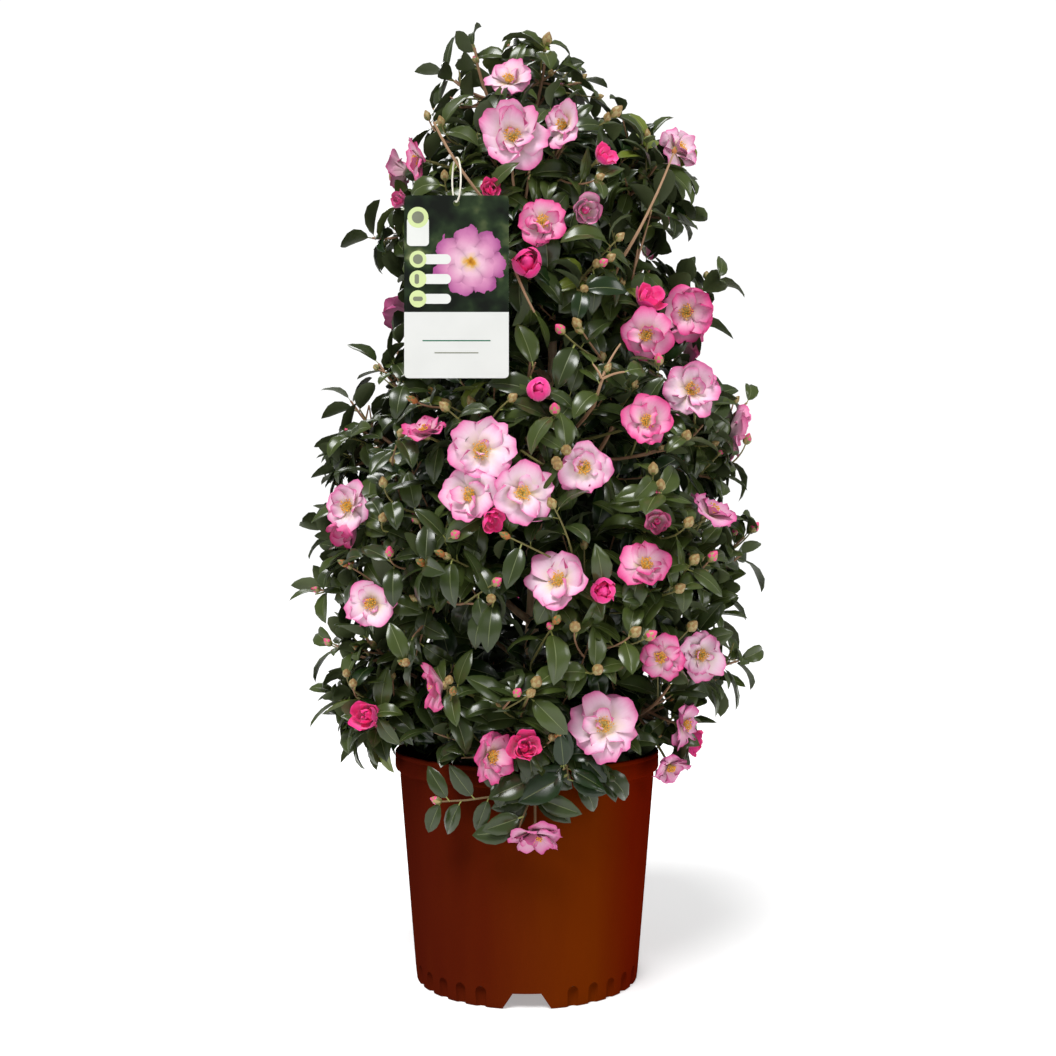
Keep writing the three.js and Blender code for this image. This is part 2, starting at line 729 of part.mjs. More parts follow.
// A lump drawn out from the mass's heart towards the walls of its space and the crown's outline
function coreGeometry(mass) {
  const geometry = bare(new THREE.IcosahedronGeometry(1));
  const position = geometry.attributes.position;
  const inner = mass.tier ? mass.tier.ring * CORE_INNER_SHARE : 0;
  for (let i = 0; i < position.count; i++) {
    const way = new THREE.Vector3().fromBufferAttribute(position, i).normalize();
    let reach = CORE_LEAST;
    const point = mass.heart.clone();
    while (reach < CORE_MOST) {
      point.copy(mass.heart).addScaledVector(way, reach / CORE_SHARE);
      const across = Math.hypot(point.x, point.y);
      const outer = crownReach(Math.atan2(point.y, point.x), point.z) - CORE_DEPTH;
      if (across > outer || across < inner || !inSpace(mass, [point])) break;
      reach += 2;
    }
    position.setXYZ(i, ...mass.heart.clone().addScaledVector(way, reach).toArray());
  }
  return geometry;
}

// Growing the masses

const stem = stemSolid(0);
const stemRoom = stemSolid(TOUCH);
const boughs = masses.filter((mass) => mass.tier).map((mass) => ({
  mass,
  solid: biggestPiece(boughSolid(mass, 0).subtract(stemRoom)),
  room: boughSolid(mass, LIMB_ROOM),
  points: boughPoints(mass),
}));
const limbRooms = [stemSolid(LIMB_ROOM), ...boughs.map((bough) => bough.room)];
const fixedRooms = [...limbRooms, potRoom(), tieSolid(TIE_ROOM), labelSolid(LABEL_ROOM)];

const blossoms = blossomList().filter((blossom) => blossom.width >= BLOSSOM_LEAST_WIDTH);
for (const blossom of blossoms) {
  const { centre, facing, width, form } = blossom;
  blossom.mass = massAt(centre);
  blossom.solid = blossomSolid(centre, facing, width, form);
  blossom.room = blossomSolid(centre, facing, width + 2 * BLOSSOM_ROOM, form);
  const bends = centre.z < HANGING_TOP ? [overRim(centre)] : [];
  blossom.twig = twigSolid([blossom.mass.heart, ...bends, centre]);
}

// Blossoms keep clear of the limbs, of the label and of each other
const kept = [];
for (const blossom of blossoms) {
  const others = kept.filter((other) => other.mass !== blossom.mass);
  const rooms = [...fixedRooms, ...others.flatMap((other) => [other.room, other.twig])];
  const whole = blossom.solid.add(blossom.twig);
  if (!touches(whole, rooms)) kept.push(blossom);
}

const tips = tipList();

// Twigs grow to their tips from the mass's heart, or from the middle of an earlier twig
function twigsOf(mass, rooms) {
  const forks = [mass.heart];
  const twigs = [];
  tips.forEach((tip, index) => {
    if (massAt(tip) !== mass) return;
    const next = numberStream(TWIG_SEED + index);
    const start = forks.reduce((best, fork) =>
      (fork.distanceTo(tip) < best.distanceTo(tip) ? fork : best));
    const hangs = tip.z < HANGING_TOP;
    const bend = hangs ? overRim(tip) : start;
    const way = tip.clone().sub(bend).normalize();
    const length = Math.max(bend.distanceTo(tip) - TIP_LEAF_LENGTH, TWIG_LEAST_LENGTH);
    const end = bend.clone().addScaledVector(way, length);
    const solid = twigSolid([start, ...(hangs ? [bend] : []), end]);
    if (!inSpace(mass, [end]) || touches(solid, rooms)) return;
    if (start === mass.heart && !hangs) forks.push(start.clone().lerp(end, 0.5));
    twigs.push({ bend, end, tip, way, solid, roll: next() * 360, size: 0.8 + 0.2 * next() });
  });
  return twigs;
}

// The leaf at one of the places along a twig: the first goes on to the twig's tip
function leafOn(twig, place, mass) {
  const k = LEAF_PLACES.indexOf(place);
  const at = twig.bend.clone().lerp(twig.end, place);
  const direction = k === 0 ? twig.way
    : leafDirection(twig.way, (twig.roll + GOLDEN_ANGLE * k) * DEGREES);
  const length = k === 0 ? twig.end.distanceTo(twig.tip) + LEAF_SUNK : LEAF_LENGTH * twig.size;
  const root = at.clone().addScaledVector(direction, -LEAF_SUNK);
  const blade = leafGeometry(root, direction, outwardAt(at), length, LEAF_WIDTH);
  const position = blade.attributes.position;
  const corners = Array.from({ length: position.count }, (_, i) =>
    new THREE.Vector3().fromBufferAttribute(position, i));
  return inSpace(mass, corners) ? solidOf(blade) : null;
}

function growMass(mass, bough) {
  const { heart } = mass;
  const parts = [];
  const foreign = kept.filter((blossom) => blossom.mass !== mass)
    .filter((blossom) => blossom.centre.distanceTo(heart) < BLOSSOM_FAR)
    .flatMap((blossom) => [blossom.room, blossom.twig]);
  const rooms = [...fixedRooms, ...foreign];

  // The stem inside the mass goes on from the bough's tip, or the main stem's, just clear of it
  const limbEnd = bough ? bough.points[2] : stemPoints[stemPoints.length - 1];
  const limbBack = bough ? bough.points[1] : stemPoints[stemPoints.length - 2];
  const way = limbEnd.clone().sub(limbBack).normalize();
  const entry = limbEnd.clone().addScaledVector(way, -ENTRY_DEPTH);
  const beyond = limbEnd.clone().addScaledVector(way, ENTRY_RUN);
  const foot = solidOf(limb([entry, beyond, heart], [BOUGH_TIP_RADIUS, TWIG_RADIUS], TWIG_SIDES, 2));
  parts.push(biggestPiece(foot.subtract(bough ? boughSolid(mass, TOUCH) : stemRoom)));

  // A rough core, smaller than the mass, cut clear of every limb
  const lump = coreGeometry(mass);
  const core = biggestPiece(rooms.reduce((solid, room) => solid.subtract(room), solidOf(lump)));
  parts.push(core);

  if (mass.name === TIE_MASS) {
    const line = TIE_TWIG_LINE.map(vector);
    const [before, end] = line.slice(-2);
    const along = end.clone().sub(before).normalize();
    parts.push(solidOf(limb([heart, ...line], [TWIG_RADIUS, TIE_TWIG_RADIUS], TWIG_SIDES, 8)));
    for (const roll of TIE_LEAF_ROLLS) {
      const direction = leafDirection(along, roll * DEGREES);
      const root = end.clone().addScaledVector(along, -TWIG_RADIUS).addScaledVector(direction, -LEAF_SUNK);
      const length = LEAF_LENGTH * TIE_LEAF_SHARE;
      const width = LEAF_WIDTH * TIE_LEAF_SHARE;
      parts.push(solidOf(leafGeometry(root, direction, outwardAt(end), length, width)));
    }
  }

  for (const blossom of kept.filter((other) => other.mass === mass)) {
    parts.push(blossom.twig, blossom.solid);
  }

  // Leaves go on outermost first, and one that would cut another twig or leaf is skipped
  const twigs = twigsOf(mass, rooms);
  const growth = parts.slice(2);
  for (const place of LEAF_PLACES) {
    for (const twig of twigs) {
      const leaf = leafOn(twig, place, mass);
      if (!leaf) continue;
      const others = twigs.filter((other) => other !== twig).map((other) => other.solid);
      if (touches(leaf, [...rooms, ...growth, ...others])) continue;
      growth.push(leaf);
      twig.leafy = true;
    }
  }
  const leafy = twigs.filter((twig) => twig.leafy).map((twig) => twig.solid);
  return biggestPiece(joined([...parts.slice(0, 2), ...leafy, ...growth]));
}

// Assembly

const plant = new THREE.Group();
plant.name = 'camellia_shrub';

function addNode(name, solid, material) {
  const mesh = new THREE.Mesh(geometryOf(solid), material);
  mesh.name = name;
  plant.add(mesh);
  return mesh;
}

addNode('pot', potSolid(), materials.pot);
addNode('potting_mix', soilSolid(), materials.soil);
addNode('stem', stem, materials.bark);
for (const bough of boughs) addNode(`bough_${bough.mass.name}`, bough.solid, materials.bark);
masses.forEach((mass) => {
  const bough = boughs.find((other) => other.mass === mass);
  addNode(`foliage_${mass.name}`, growMass(mass, bough), materials.foliage);
});
addNode('label_card', labelSolid(0), materials.label);
addNode('label_tie', tieSolid(0), materials.tie);

export default plant;
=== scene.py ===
# Autumn camellia in bloom in its round nursery pot. Sizes are in millimetres and
# become metres when a mesh is made. The viewer stands on the -Y side.
import math

import bmesh
import bpy
import numpy as np
from mathutils import Matrix, Vector


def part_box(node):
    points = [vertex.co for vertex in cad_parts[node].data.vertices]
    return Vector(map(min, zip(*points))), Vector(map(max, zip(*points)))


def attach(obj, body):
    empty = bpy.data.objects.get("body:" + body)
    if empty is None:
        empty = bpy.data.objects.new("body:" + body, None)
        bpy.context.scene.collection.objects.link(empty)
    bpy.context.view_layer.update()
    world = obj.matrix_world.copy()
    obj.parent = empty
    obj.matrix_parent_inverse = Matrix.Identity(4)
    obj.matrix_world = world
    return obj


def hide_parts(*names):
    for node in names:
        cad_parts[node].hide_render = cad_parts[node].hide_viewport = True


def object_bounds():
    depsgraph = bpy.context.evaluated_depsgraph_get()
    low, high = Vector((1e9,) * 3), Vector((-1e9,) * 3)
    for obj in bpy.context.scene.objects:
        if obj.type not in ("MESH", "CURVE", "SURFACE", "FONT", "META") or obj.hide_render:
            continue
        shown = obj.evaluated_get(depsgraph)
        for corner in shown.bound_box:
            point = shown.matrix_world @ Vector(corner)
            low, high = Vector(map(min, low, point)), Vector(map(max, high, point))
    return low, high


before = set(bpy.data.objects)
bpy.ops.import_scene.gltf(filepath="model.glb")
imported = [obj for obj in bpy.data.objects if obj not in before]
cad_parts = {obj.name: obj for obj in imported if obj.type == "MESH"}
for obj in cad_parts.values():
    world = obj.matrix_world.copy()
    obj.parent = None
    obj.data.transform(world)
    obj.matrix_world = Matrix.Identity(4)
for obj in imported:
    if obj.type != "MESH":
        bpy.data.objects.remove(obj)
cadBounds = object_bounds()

scene = bpy.context.scene
mm = 0.001
goldenAngle = 137.508
upward = np.array([0.0, 0.0, 1.0])


# Meshes: a bmesh in millimetres becomes a piece in metres

def shadeMesh(mesh, sharpAngle):
    mesh.shade_smooth()
    mesh.set_sharp_from_angle(angle=math.radians(sharpAngle))


def dressPiece(name, mesh, materials, sharpAngle):
    for material in materials:
        mesh.materials.append(material)
    shadeMesh(mesh, sharpAngle)
    piece = bpy.data.objects.new(name, mesh)
    scene.collection.objects.link(piece)
    return piece


def finishPiece(name, bm, materials, sharpAngle=40):
    mesh = bpy.data.meshes.new(name)
    bm.to_mesh(mesh)
    bm.free()
    mesh.transform(Matrix.Scale(mm, 4))
    return dressPiece(name, mesh, materials, sharpAngle)


def standFor(piece, nodes=()):
    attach(piece, "root")
    if nodes:
        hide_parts(*nodes)
    print(f"{piece.name}: {len(piece.data.polygons)} faces")


def facesOf(verts):
    return list({face for vertex in verts for face in vertex.link_faces})


# Turns every face outwards. Moved points leave old normals behind, so these are renewed first
def faceOut(bm):
    bm.normal_update()
    bmesh.ops.recalc_face_normals(bm, faces=bm.faces[:])


def closeEnds(bm, sides):
    bmesh.ops.holes_fill(bm, edges=[edge for edge in bm.edges if edge.is_boundary], sides=sides)


def cutAcross(bm, height, normal, **more):
    return bmesh.ops.bisect_plane(
        bm, geom=bm.verts[:] + bm.edges[:] + bm.faces[:], plane_co=(0, 0, height), plane_no=normal, **more)


# A profile, a list of points, turned once round the upright axis
def spinRound(bm, profile, steps, joined):
    bmesh.ops.spin(
        bm, geom=profile, cent=(0, 0, 0), axis=(0, 0, 1), dvec=(0, 0, 0), angle=2 * math.pi,
        steps=steps, use_merge=True)
    bmesh.ops.remove_doubles(bm, verts=bm.verts[:], dist=joined)


# A small shape as arrays, ready to be copied many times into one joined mesh
def readShape(bm):
    bm.verts.index_update()
    shape = {
        "points": np.array([vertex.co[:] for vertex in bm.verts]),
        "corners": np.array([vertex.index for face in bm.faces for vertex in face.verts]),
        "sizes": np.array([len(face.verts) for face in bm.faces]),
        "slots": np.array([face.material_index for face in bm.faces]),
    }
    bm.free()
    return shape


# Copies of a shape joined: the placed points of each, and the material slot it starts from
def joinCopies(name, shape, placed, firstSlots, materials, sharpAngle=60, maps=()):
    placed = np.asarray(placed)
    count, size = placed.shape[:2]
    corners = shape["corners"] + size * np.arange(count)[:, None]
    sizes = np.tile(shape["sizes"], count)
    starts = np.concatenate([[0], np.cumsum(sizes)[:-1]])
    slots = shape["slots"] + np.broadcast_to(firstSlots, count)[:, None]
    mesh = bpy.data.meshes.new(name)
    mesh.vertices.add(count * size)
    mesh.vertices.foreach_set("co", (placed * mm).astype(np.float32).ravel())
    mesh.loops.add(corners.size)
    mesh.loops.foreach_set("vertex_index", corners.astype(np.int32).ravel())
    mesh.polygons.add(len(sizes))
    mesh.polygons.foreach_set("loop_start", starts.astype(np.int32))
    mesh.polygons.foreach_set("material_index", slots.astype(np.int32).ravel())
    mesh.update(calc_edges=True)
    for mapName, uv in maps:
        layer = mesh.uv_layers.new(name=mapName)
        layer.data.foreach_set("uv", uv.astype(np.float32).ravel())
    return dressPiece(name, mesh, materials, sharpAngle)


# The fields of many leaves or petals, each as one array
def fieldsOf(things):
    return {key: np.array([thing[key] for thing in things]) for key in things[0]}


# Vectors and turns

def unit(v):
    v = np.asarray(v, float)
    return v / np.maximum(np.linalg.norm(v, axis=-1, keepdims=True), 1e-9)


def dot(a, b):
    return (a * b).sum(-1, keepdims=True)


def ringPoint(radius, turn, height):
    return np.array([radius * math.cos(turn), radius * math.sin(turn), height])


def around(turn, side, other):
    return math.cos(turn) * side + math.sin(turn) * other


def levelWay(point):
    return unit(np.array([point[0], point[1], 0.0]))


def turned(a, b, turn):
    return a * np.cos(turn) - b * np.sin(turn), a * np.sin(turn) + b * np.cos(turn)


# The points of many copies, from each copy's root and its offsets along its own axes
def laidOut(root, offsets):
    placed = root[:, None]
    for axis, offset in offsets:
        placed = placed + axis[:, None] * offset[..., None]
    return placed


# How far points lie ahead of a place along an axis, and how far aside from it
def offAxis(points, place, axis):
    off = points - place
    ahead = off @ axis
    return ahead, np.linalg.norm(off - ahead[..., None] * axis, axis=-1)


# The source's repeatable stream of numbers from 0 to 1
def numberStream(seed):
    state = (seed * 2654435761 + 12345) % 4294967296

    def following():
        nonlocal state
        state = (state * 1664525 + 1013904223) % 4294967296
        return state / 4294967296
    return following


def between(next01, limits):
    return limits[0] + (limits[1] - limits[0]) * next01()


def swing(next01, most):
    return most * (next01() - 0.5)


# Materials. A colour is written as on a screen, from 0 to 255, and used as linear light

def paint(*levels):
    return tuple(
        c / 12.92 if c <= 0.04045 else ((c + 0.055) / 1.055) ** 2.4
        for c in (level / 255 for level in levels))


def mixPaint(share, first, second):
    return tuple((1 - share) * a + share * b for a, b in zip(first, second))


def shaderOf(material):
    return material.node_tree.nodes["Principled BSDF"].inputs


# A socket is set to a value, or linked to the socket that feeds it
def feed(socket, source):
    if isinstance(source, bpy.types.NodeSocket):
        socket.id_data.links.new(source, socket)
    else:
        socket.default_value = source


def plainMaterial(name, colour, roughness, specular=0.5, coat=0.0, sheen=0.0):
    material = bpy.data.materials.new(name)
    material.use_nodes = True
    values = {
        "Base Color": (*colour, 1), "Roughness": roughness, "Specular IOR Level": specular,
        "Coat Weight": coat, "Coat Roughness": 0.24, "Sheen Weight": sheen}
    for socket, value in values.items():
        feed(shaderOf(material)[socket], value)
    return material


def addNode(material, kind, **values):
    node = material.node_tree.nodes.new(kind)
    for name, value in values.items():
        if name in node.inputs:
            feed(node.inputs[name], value)
        else:
            setattr(node, name, value)
    return node


def objectPlace(material):
    return addNode(material, "ShaderNodeTexCoord").outputs["Object"]


def stretched(material, place, scale):
    return addNode(material, "ShaderNodeMapping", Vector=place, Scale=scale).outputs["Vector"]


def noiseAt(material, place, scale, detail):
    return addNode(material, "ShaderNodeTexNoise", Vector=place, Scale=scale, Detail=detail).outputs["Fac"]


def addRelief(material, height, strength, most):
    bump = addNode(material, "ShaderNodeBump", Height=height, Strength=strength, Distance=most * mm)
    feed(shaderOf(material)["Normal"], bump.outputs["Normal"])


def calculate(material, operation, *terms):
    node = addNode(material, "ShaderNodeMath", operation=operation)
    for socket, term in zip(node.inputs, terms):
        feed(socket, term)
    return node.outputs[0]


def mixColours(material, share, first, second, blend="MIX"):
    node = addNode(material, "ShaderNodeMix", data_type="RGBA", blend_type=blend)
    for socket, term in ((0, share), (6, first), (7, second)):
        feed(node.inputs[socket], term)
    return node.outputs[2]


# A ramp through its stops, each a place from 0 to 1 and a colour
def colourRamp(material, stops, place):
    ramp = addNode(material, "ShaderNodeValToRGB", Fac=place)
    elements = ramp.color_ramp.elements
    while len(elements) < len(stops):
        elements.new(0.5)
    for element, (position, colour) in zip(elements, stops):
        element.position = position
        element.color = (*colour, 1)
    return ramp.outputs["Color"]


def paintStops(rows):
    return [(place, paint(*levels)) for place, *levels in rows]


# Colour and roughness mottled by noise over the piece, with a finer grain in relief
def mottledMaterial(name, look):
    colours, roughness = look["colours"], look["roughness"]
    material = plainMaterial(name, colours[0], roughness[0], specular=look.get("specular", 0.5))
    place = stretched(material, objectPlace(material), look.get("stretch", (1, 1, 1)))
    noise = noiseAt(material, place, look["scale"], 5.0)
    stops = [(0.32 + 0.36 * k / (len(colours) - 1), colour) for k, colour in enumerate(colours)]
    feed(shaderOf(material)["Base Color"], colourRamp(material, stops, noise))
    spread = addNode(
        material, "ShaderNodeMapRange", Value=noise, **{"To Min": roughness[0], "To Max": roughness[1]})
    feed(shaderOf(material)["Roughness"], spread.outputs["Result"])
    addRelief(material, noiseAt(material, place, look["grainScale"], 4.0), 0.7, look["grainHeight"])
    return material


# Camera, light and floor

studio = {
    "eyeDistance": 1350, "eyeHeight": 430, "lens": 43.0, "sensor": 36.0,
    "shiftX": 0.001, "shiftY": 0.0398, "floorSize": 60000, "floorTone": 0.75, "floorGlow": 0.34,
    "roomLight": 0.27, "whiteLight": 1.05, "aimHeight": 0.5,
    "sunAngle": 27, "sunStrength": 3.4, "sunFrom": (-0.4, -1.0, 2.15),
}
lamps = [
    {"name": "rightLamp", "at": (1.9, -1.2, 1.4), "size": 1.0, "watts": 14},
    {"name": "backLamp", "at": (-0.6, 1.9, 2.2), "size": 1.6, "watts": 26},
]


def aimAt(holder, place):
    holder.location = place
    aim = Vector((0, 0, studio["aimHeight"])) - Vector(place)
    holder.rotation_euler = aim.to_track_quat("-Z", "Y").to_euler()
    scene.collection.objects.link(holder)


# A white room: its walls look white and give a dimmer, even light
def makeRoom():
    room = bpy.data.worlds.new("studioRoom")
    room.use_nodes = True
    nodes = room.node_tree.nodes
    soft, walls = nodes["Background"], nodes.new("ShaderNodeBackground")
    for light, strength in ((soft, studio["roomLight"]), (walls, studio["whiteLight"])):
        feed(light.inputs["Color"], (1, 1, 1, 1))
        feed(light.inputs["Strength"], strength)
    either = nodes.new("ShaderNodeMixShader")
    sources = [nodes.new("ShaderNodeLightPath").outputs["Is Camera Ray"], soft.outputs[0], walls.outputs[0]]
    for socket, source in zip(either.inputs, sources):
        feed(socket, source)
    feed(nodes["World Output"].inputs["Surface"], either.outputs[0])
    scene.world = room


def makeStudio():
    data = bpy.data.cameras.new("studioCamera")
    data.sensor_width = studio["sensor"]
    data.lens = studio["lens"]
    data.shift_x = studio["shiftX"]
    data.shift_y = studio["shiftY"]
    camera = bpy.data.objects.new("studioCamera", data)
    camera.location = (0, -studio["eyeDistance"] * mm, studio["eyeHeight"] * mm)
    camera.rotation_euler = (math.radians(90), 0, 0)
    scene.collection.objects.link(camera)
    scene.camera = camera
    scene.view_settings.view_transform = "Standard"
    makeRoom()

    sun = bpy.data.lights.new("softKey", "SUN")
    sun.angle = math.radians(studio["sunAngle"])
    sun.energy = studio["sunStrength"]
    aimAt(bpy.data.objects.new("softKey", sun), studio["sunFrom"])
    for lamp in lamps:
        light = bpy.data.lights.new(lamp["name"], "AREA")
        light.shape = "DISK"
        light.size = lamp["size"]
        light.energy = lamp["watts"]
        aimAt(bpy.data.objects.new(lamp["name"], light), lamp["at"])

    bm = bmesh.new()
    bmesh.ops.create_grid(bm, x_segments=1, y_segments=1, size=studio["floorSize"] / 2)
    floorPaint = plainMaterial("floorPaint", (studio["floorTone"],) * 3, 0.9, specular=0.1)
    feed(shaderOf(floorPaint)["Emission Color"], (1, 1, 1, 1))
    feed(shaderOf(floorPaint)["Emission Strength"], studio["floorGlow"])
    finishPiece("studioFloor", bm, [floorPaint])
    print("studio ready")


# Crown: the masses and their own spaces, as in the part's source

crown = {
    "outline": np.array([
        [205, 158, 162], [240, 185, 178], [300, 212, 195], [360, 218, 214], [430, 216, 228],
        [500, 230, 238], [570, 218, 230], [625, 178, 218], [680, 166, 194], [740, 158, 192],
        [800, 152, 180], [860, 144, 178], [900, 116, 146], [945, 78, 84], [985, 44, 48],
        [1006, 14, 16],
    ], float),
    "tiers": [
        {"name": "skirt", "height": 300, "ring": 106, "count": 5, "turn": -90, "rise": 50},
        {"name": "lower", "height": 436, "ring": 108, "count": 5, "turn": -54, "rise": 96},
        {"name": "middle", "height": 574, "ring": 98, "count": 4, "turn": -82, "rise": 100},
        {"name": "upper", "height": 708, "ring": 78, "count": 4, "turn": -38, "rise": 96},
        {"name": "shoulder", "height": 832, "ring": 60, "count": 3, "turn": -92, "rise": 80},
    ],
    "topHeart": [-12, 2, 944], "tierStagger": 62, "spaceSlack": 14,
    "hangingTop": 212, "hangingReach": 170, "hangingBend": 272,
}
outlineTips = [
    [-111, 975], [-119, 912], [-166, 868], [-195, 780], [-176, 668], [-209, 633],
    [-226, 566], [-230, 526], [-242, 484], [-222, 441], [-250, 398], [-229, 356],
    [-231, 300], [-206, 268], [-190, 240], [84, 950], [130, 905], [190, 868],
    [190, 800], [226, 752], [204, 700], [260, 624], [242, 569], [248, 548],
    [258, 482], [256, 458], [236, 405], [226, 372], [252, 334], [226, 306],
    [196, 262], [-22, 1006], [16, 992],
]
backTips = [[238, 486], [216, 590], [206, 330]]
hangingTips = [[44, 172], [106, 200]]

# The same reach seen closer, with the hollows between the sprays: [height, left, right]
leafOutline = np.array([
    [120, 150, 150], [205, 165, 160], [237, 188, 179], [269, 206, 188], [302, 228, 226],
    [334, 204, 222], [355, 226, 222], [387, 214, 200], [408, 215, 234], [441, 216, 240],
    [483, 240, 252], [505, 232, 240], [526, 226, 222], [547, 228, 240], [569, 226, 242],
    [590, 166, 236], [622, 158, 232], [640, 160, 200], [665, 158, 186], [700, 152, 196],
    [719, 152, 196], [751, 156, 190], [783, 163, 182], [826, 138, 180], [868, 146, 190],
    [889, 120, 188], [905, 108, 156], [925, 84, 100], [943, 74, 84], [975, 70, 58],
    [990, 50, 44], [1008, 22, 24],
], float)


# Rows give the reach to the left and to the right at a height; round the crown it runs between them
def reachIn(rows, azimuth, height):
    share = (1 + np.cos(azimuth)) / 2
    left, right = (np.interp(height, rows[:, 0], rows[:, side]) for side in (1, 2))
    return left * (1 - share) + right * share


def crownReach(azimuth, height):
    return reachIn(crown["outline"], azimuth, height)


# How deep points lie inside the leaves' own reach
def leafDepth(points):
    x, y, z = np.moveaxis(points, -1, 0)
    return reachIn(leafOutline, np.arctan2(y, x), z) - np.hypot(x, y)


# Heights that share out the crown's surface evenly
def evenHeights(count, steps=400):
    low, high = crown["outline"][0, 0], crown["outline"][-1, 0]
    heights = low + (high - low) * np.arange(steps + 1) / steps
    reaches = crownReach(math.pi / 2, heights)
    slopes = np.hypot(np.diff(heights), np.diff(reaches))
    total = np.concatenate([[0], np.cumsum(slopes * reaches[1:])])
    wanted = total[-1] * (np.arange(count) + 0.5) / count
    return low + (high - low) * np.searchsorted(total, wanted) / steps


def listMasses():
    masses = []
    for tier in crown["tiers"]:
        count = tier["count"]
        for k in range(count):
            place = (2 * k) % count
            height = tier["height"] + crown["tierStagger"] * (place / count - 0.4)
            heart = ringPoint(tier["ring"], math.radians(tier["turn"] + 360 / count * k), height)
            masses.append({
                "name": f"{tier['name']}_{k + 1}", "group": tier["name"], "heart": heart, "tier": tier,
                "place": place})
    masses.append({
        "name": "top", "group": "top", "heart": np.array(crown["topHeart"], float), "tier": None})
    return masses


masses = listMasses()
hearts = np.array([mass["heart"] for mass in masses])


def massAt(point):
    return int(np.argmin(((hearts - point) ** 2).sum(1)))


# How far a point is past the nearest wall of the mass's own space
def pastWalls(index, point):
    away = hearts - hearts[index]
    length = np.linalg.norm(away, axis=1)
    length[index] = 1
    past = (away * (point - (hearts + hearts[index]) / 2)).sum(1) / length
    past[index] = -1e9
    return past.max()


def outwardAt(point):
    return unit(levelWay(point) * 0.75 + upward)


eye = np.array([0.0, -studio["eyeDistance"], studio["eyeHeight"]])


# Where a line of sight through (across, height) in the axis plane meets the crown's near side
def seenOnCrown(across, height, inset):
    ray = np.array([across, 0, height]) - eye
    for step in range(301):
        point = eye + ray * (0.8 + 0.2 * step / 300)
        hangs = point[2] < crown["hangingTop"]
        reach = crown["hangingReach"] if hangs else crownReach(math.atan2(point[1], point[0]), point[2])
        if math.hypot(point[0], point[1]) <= reach - inset:
            return point
    return eye + ray


# Where points show in the plane of the stem, seen by the camera
def seenPlace(points):
    nearer = studio["eyeDistance"] / (studio["eyeDistance"] + points[..., 1])
    return points[..., 0] * nearer, eye[2] + (points[..., 2] - eye[2]) * nearer


def overRim(end):
    bend = levelWay(end) * crown["hangingReach"]
    bend[2] = crown["hangingBend"]
    return bend


# Stem and boughs, with bark in relief

stem = {
    "line": [
        [0, 0, 204], [1, -3, 240], [3, -6, 300], [6, -8, 380], [15, -8, 560],
        [27, -6, 645], [20, 0, 760], [0, 4, 860], [-10, 2, 918],
    ],
    "radii": [14, 9.5, 8, 7, 5.6, 5, 4.4, 3.6, 3.2],
    "sides": 28, "rings": 260, "footHeight": 212.3, "relief": 0.34,
    # The stem's bark is lighter than the boughs': painted light, so it shows lit in the crown's shade
    "colours": [paint(214, 172, 128), paint(234, 198, 156), paint(246, 220, 184)],
}
bough = {
    "radii": [4.6, 2.8], "step": 11, "sag": 6, "endShare": 0.42,
    "sides": 14, "rings": 34, "relief": 0.2,
}
bark = {
    "colours": [paint(142, 110, 80), paint(182, 148, 112), paint(210, 180, 144)],
    "scale": 60, "roughness": (0.62, 0.85), "stretch": (1, 1, 0.25),
    "grainScale": 420, "grainHeight": 0.5,
}


# A point on the centripetal curve through the points, as the source's curves run
def curvePoint(points, t):
    last = len(points) - 1
    place = min(max(t, 0), 1) * last
    i = min(int(place), last - 1)
    weight = place - i
    p1, p2 = points[i], points[i + 1]
    p0 = points[i - 1] if i > 0 else 2 * p1 - p2
    p3 = points[i + 2] if i + 2 <= last else 2 * p2 - p1
    d0, d1, d2 = (math.sqrt(np.linalg.norm(b - a)) for a, b in ((p0, p1), (p1, p2), (p2, p3)))
    t1 = ((p1 - p0) / d0 - (p2 - p0) / (d0 + d1) + (p2 - p1) / d1) * d1
    t2 = ((p2 - p1) / d1 - (p3 - p1) / (d1 + d2) + (p3 - p2) / d2) * d1
    w2, w3 = weight ** 2, weight ** 3
    return ((2 * w3 - 3 * w2 + 1) * p1 + (w3 - 2 * w2 + weight) * t1
            + (3 * w2 - 2 * w3) * p2 + (w3 - w2) * t2)


stemPoints = [np.array(point, float) for point in stem["line"]]


def stemAt(height):
    low, high = 0.0, 1.0
    for _ in range(40):
        middle = (low + high) / 2
        if curvePoint(stemPoints, middle)[2] < height:
            low = middle
        else:
            high = middle
    return curvePoint(stemPoints, low)


def boughPoints(mass):
    tier = mass["tier"]
    start = stemAt(mass["heart"][2] - tier["rise"] + bough["step"] * (mass["place"] - 1))
    end = mass["heart"] + unit(start - mass["heart"]) * tier["ring"] * bough["endShare"]
    bend = (start + end) / 2 - bough["sag"] * upward
    return [start, bend, end]


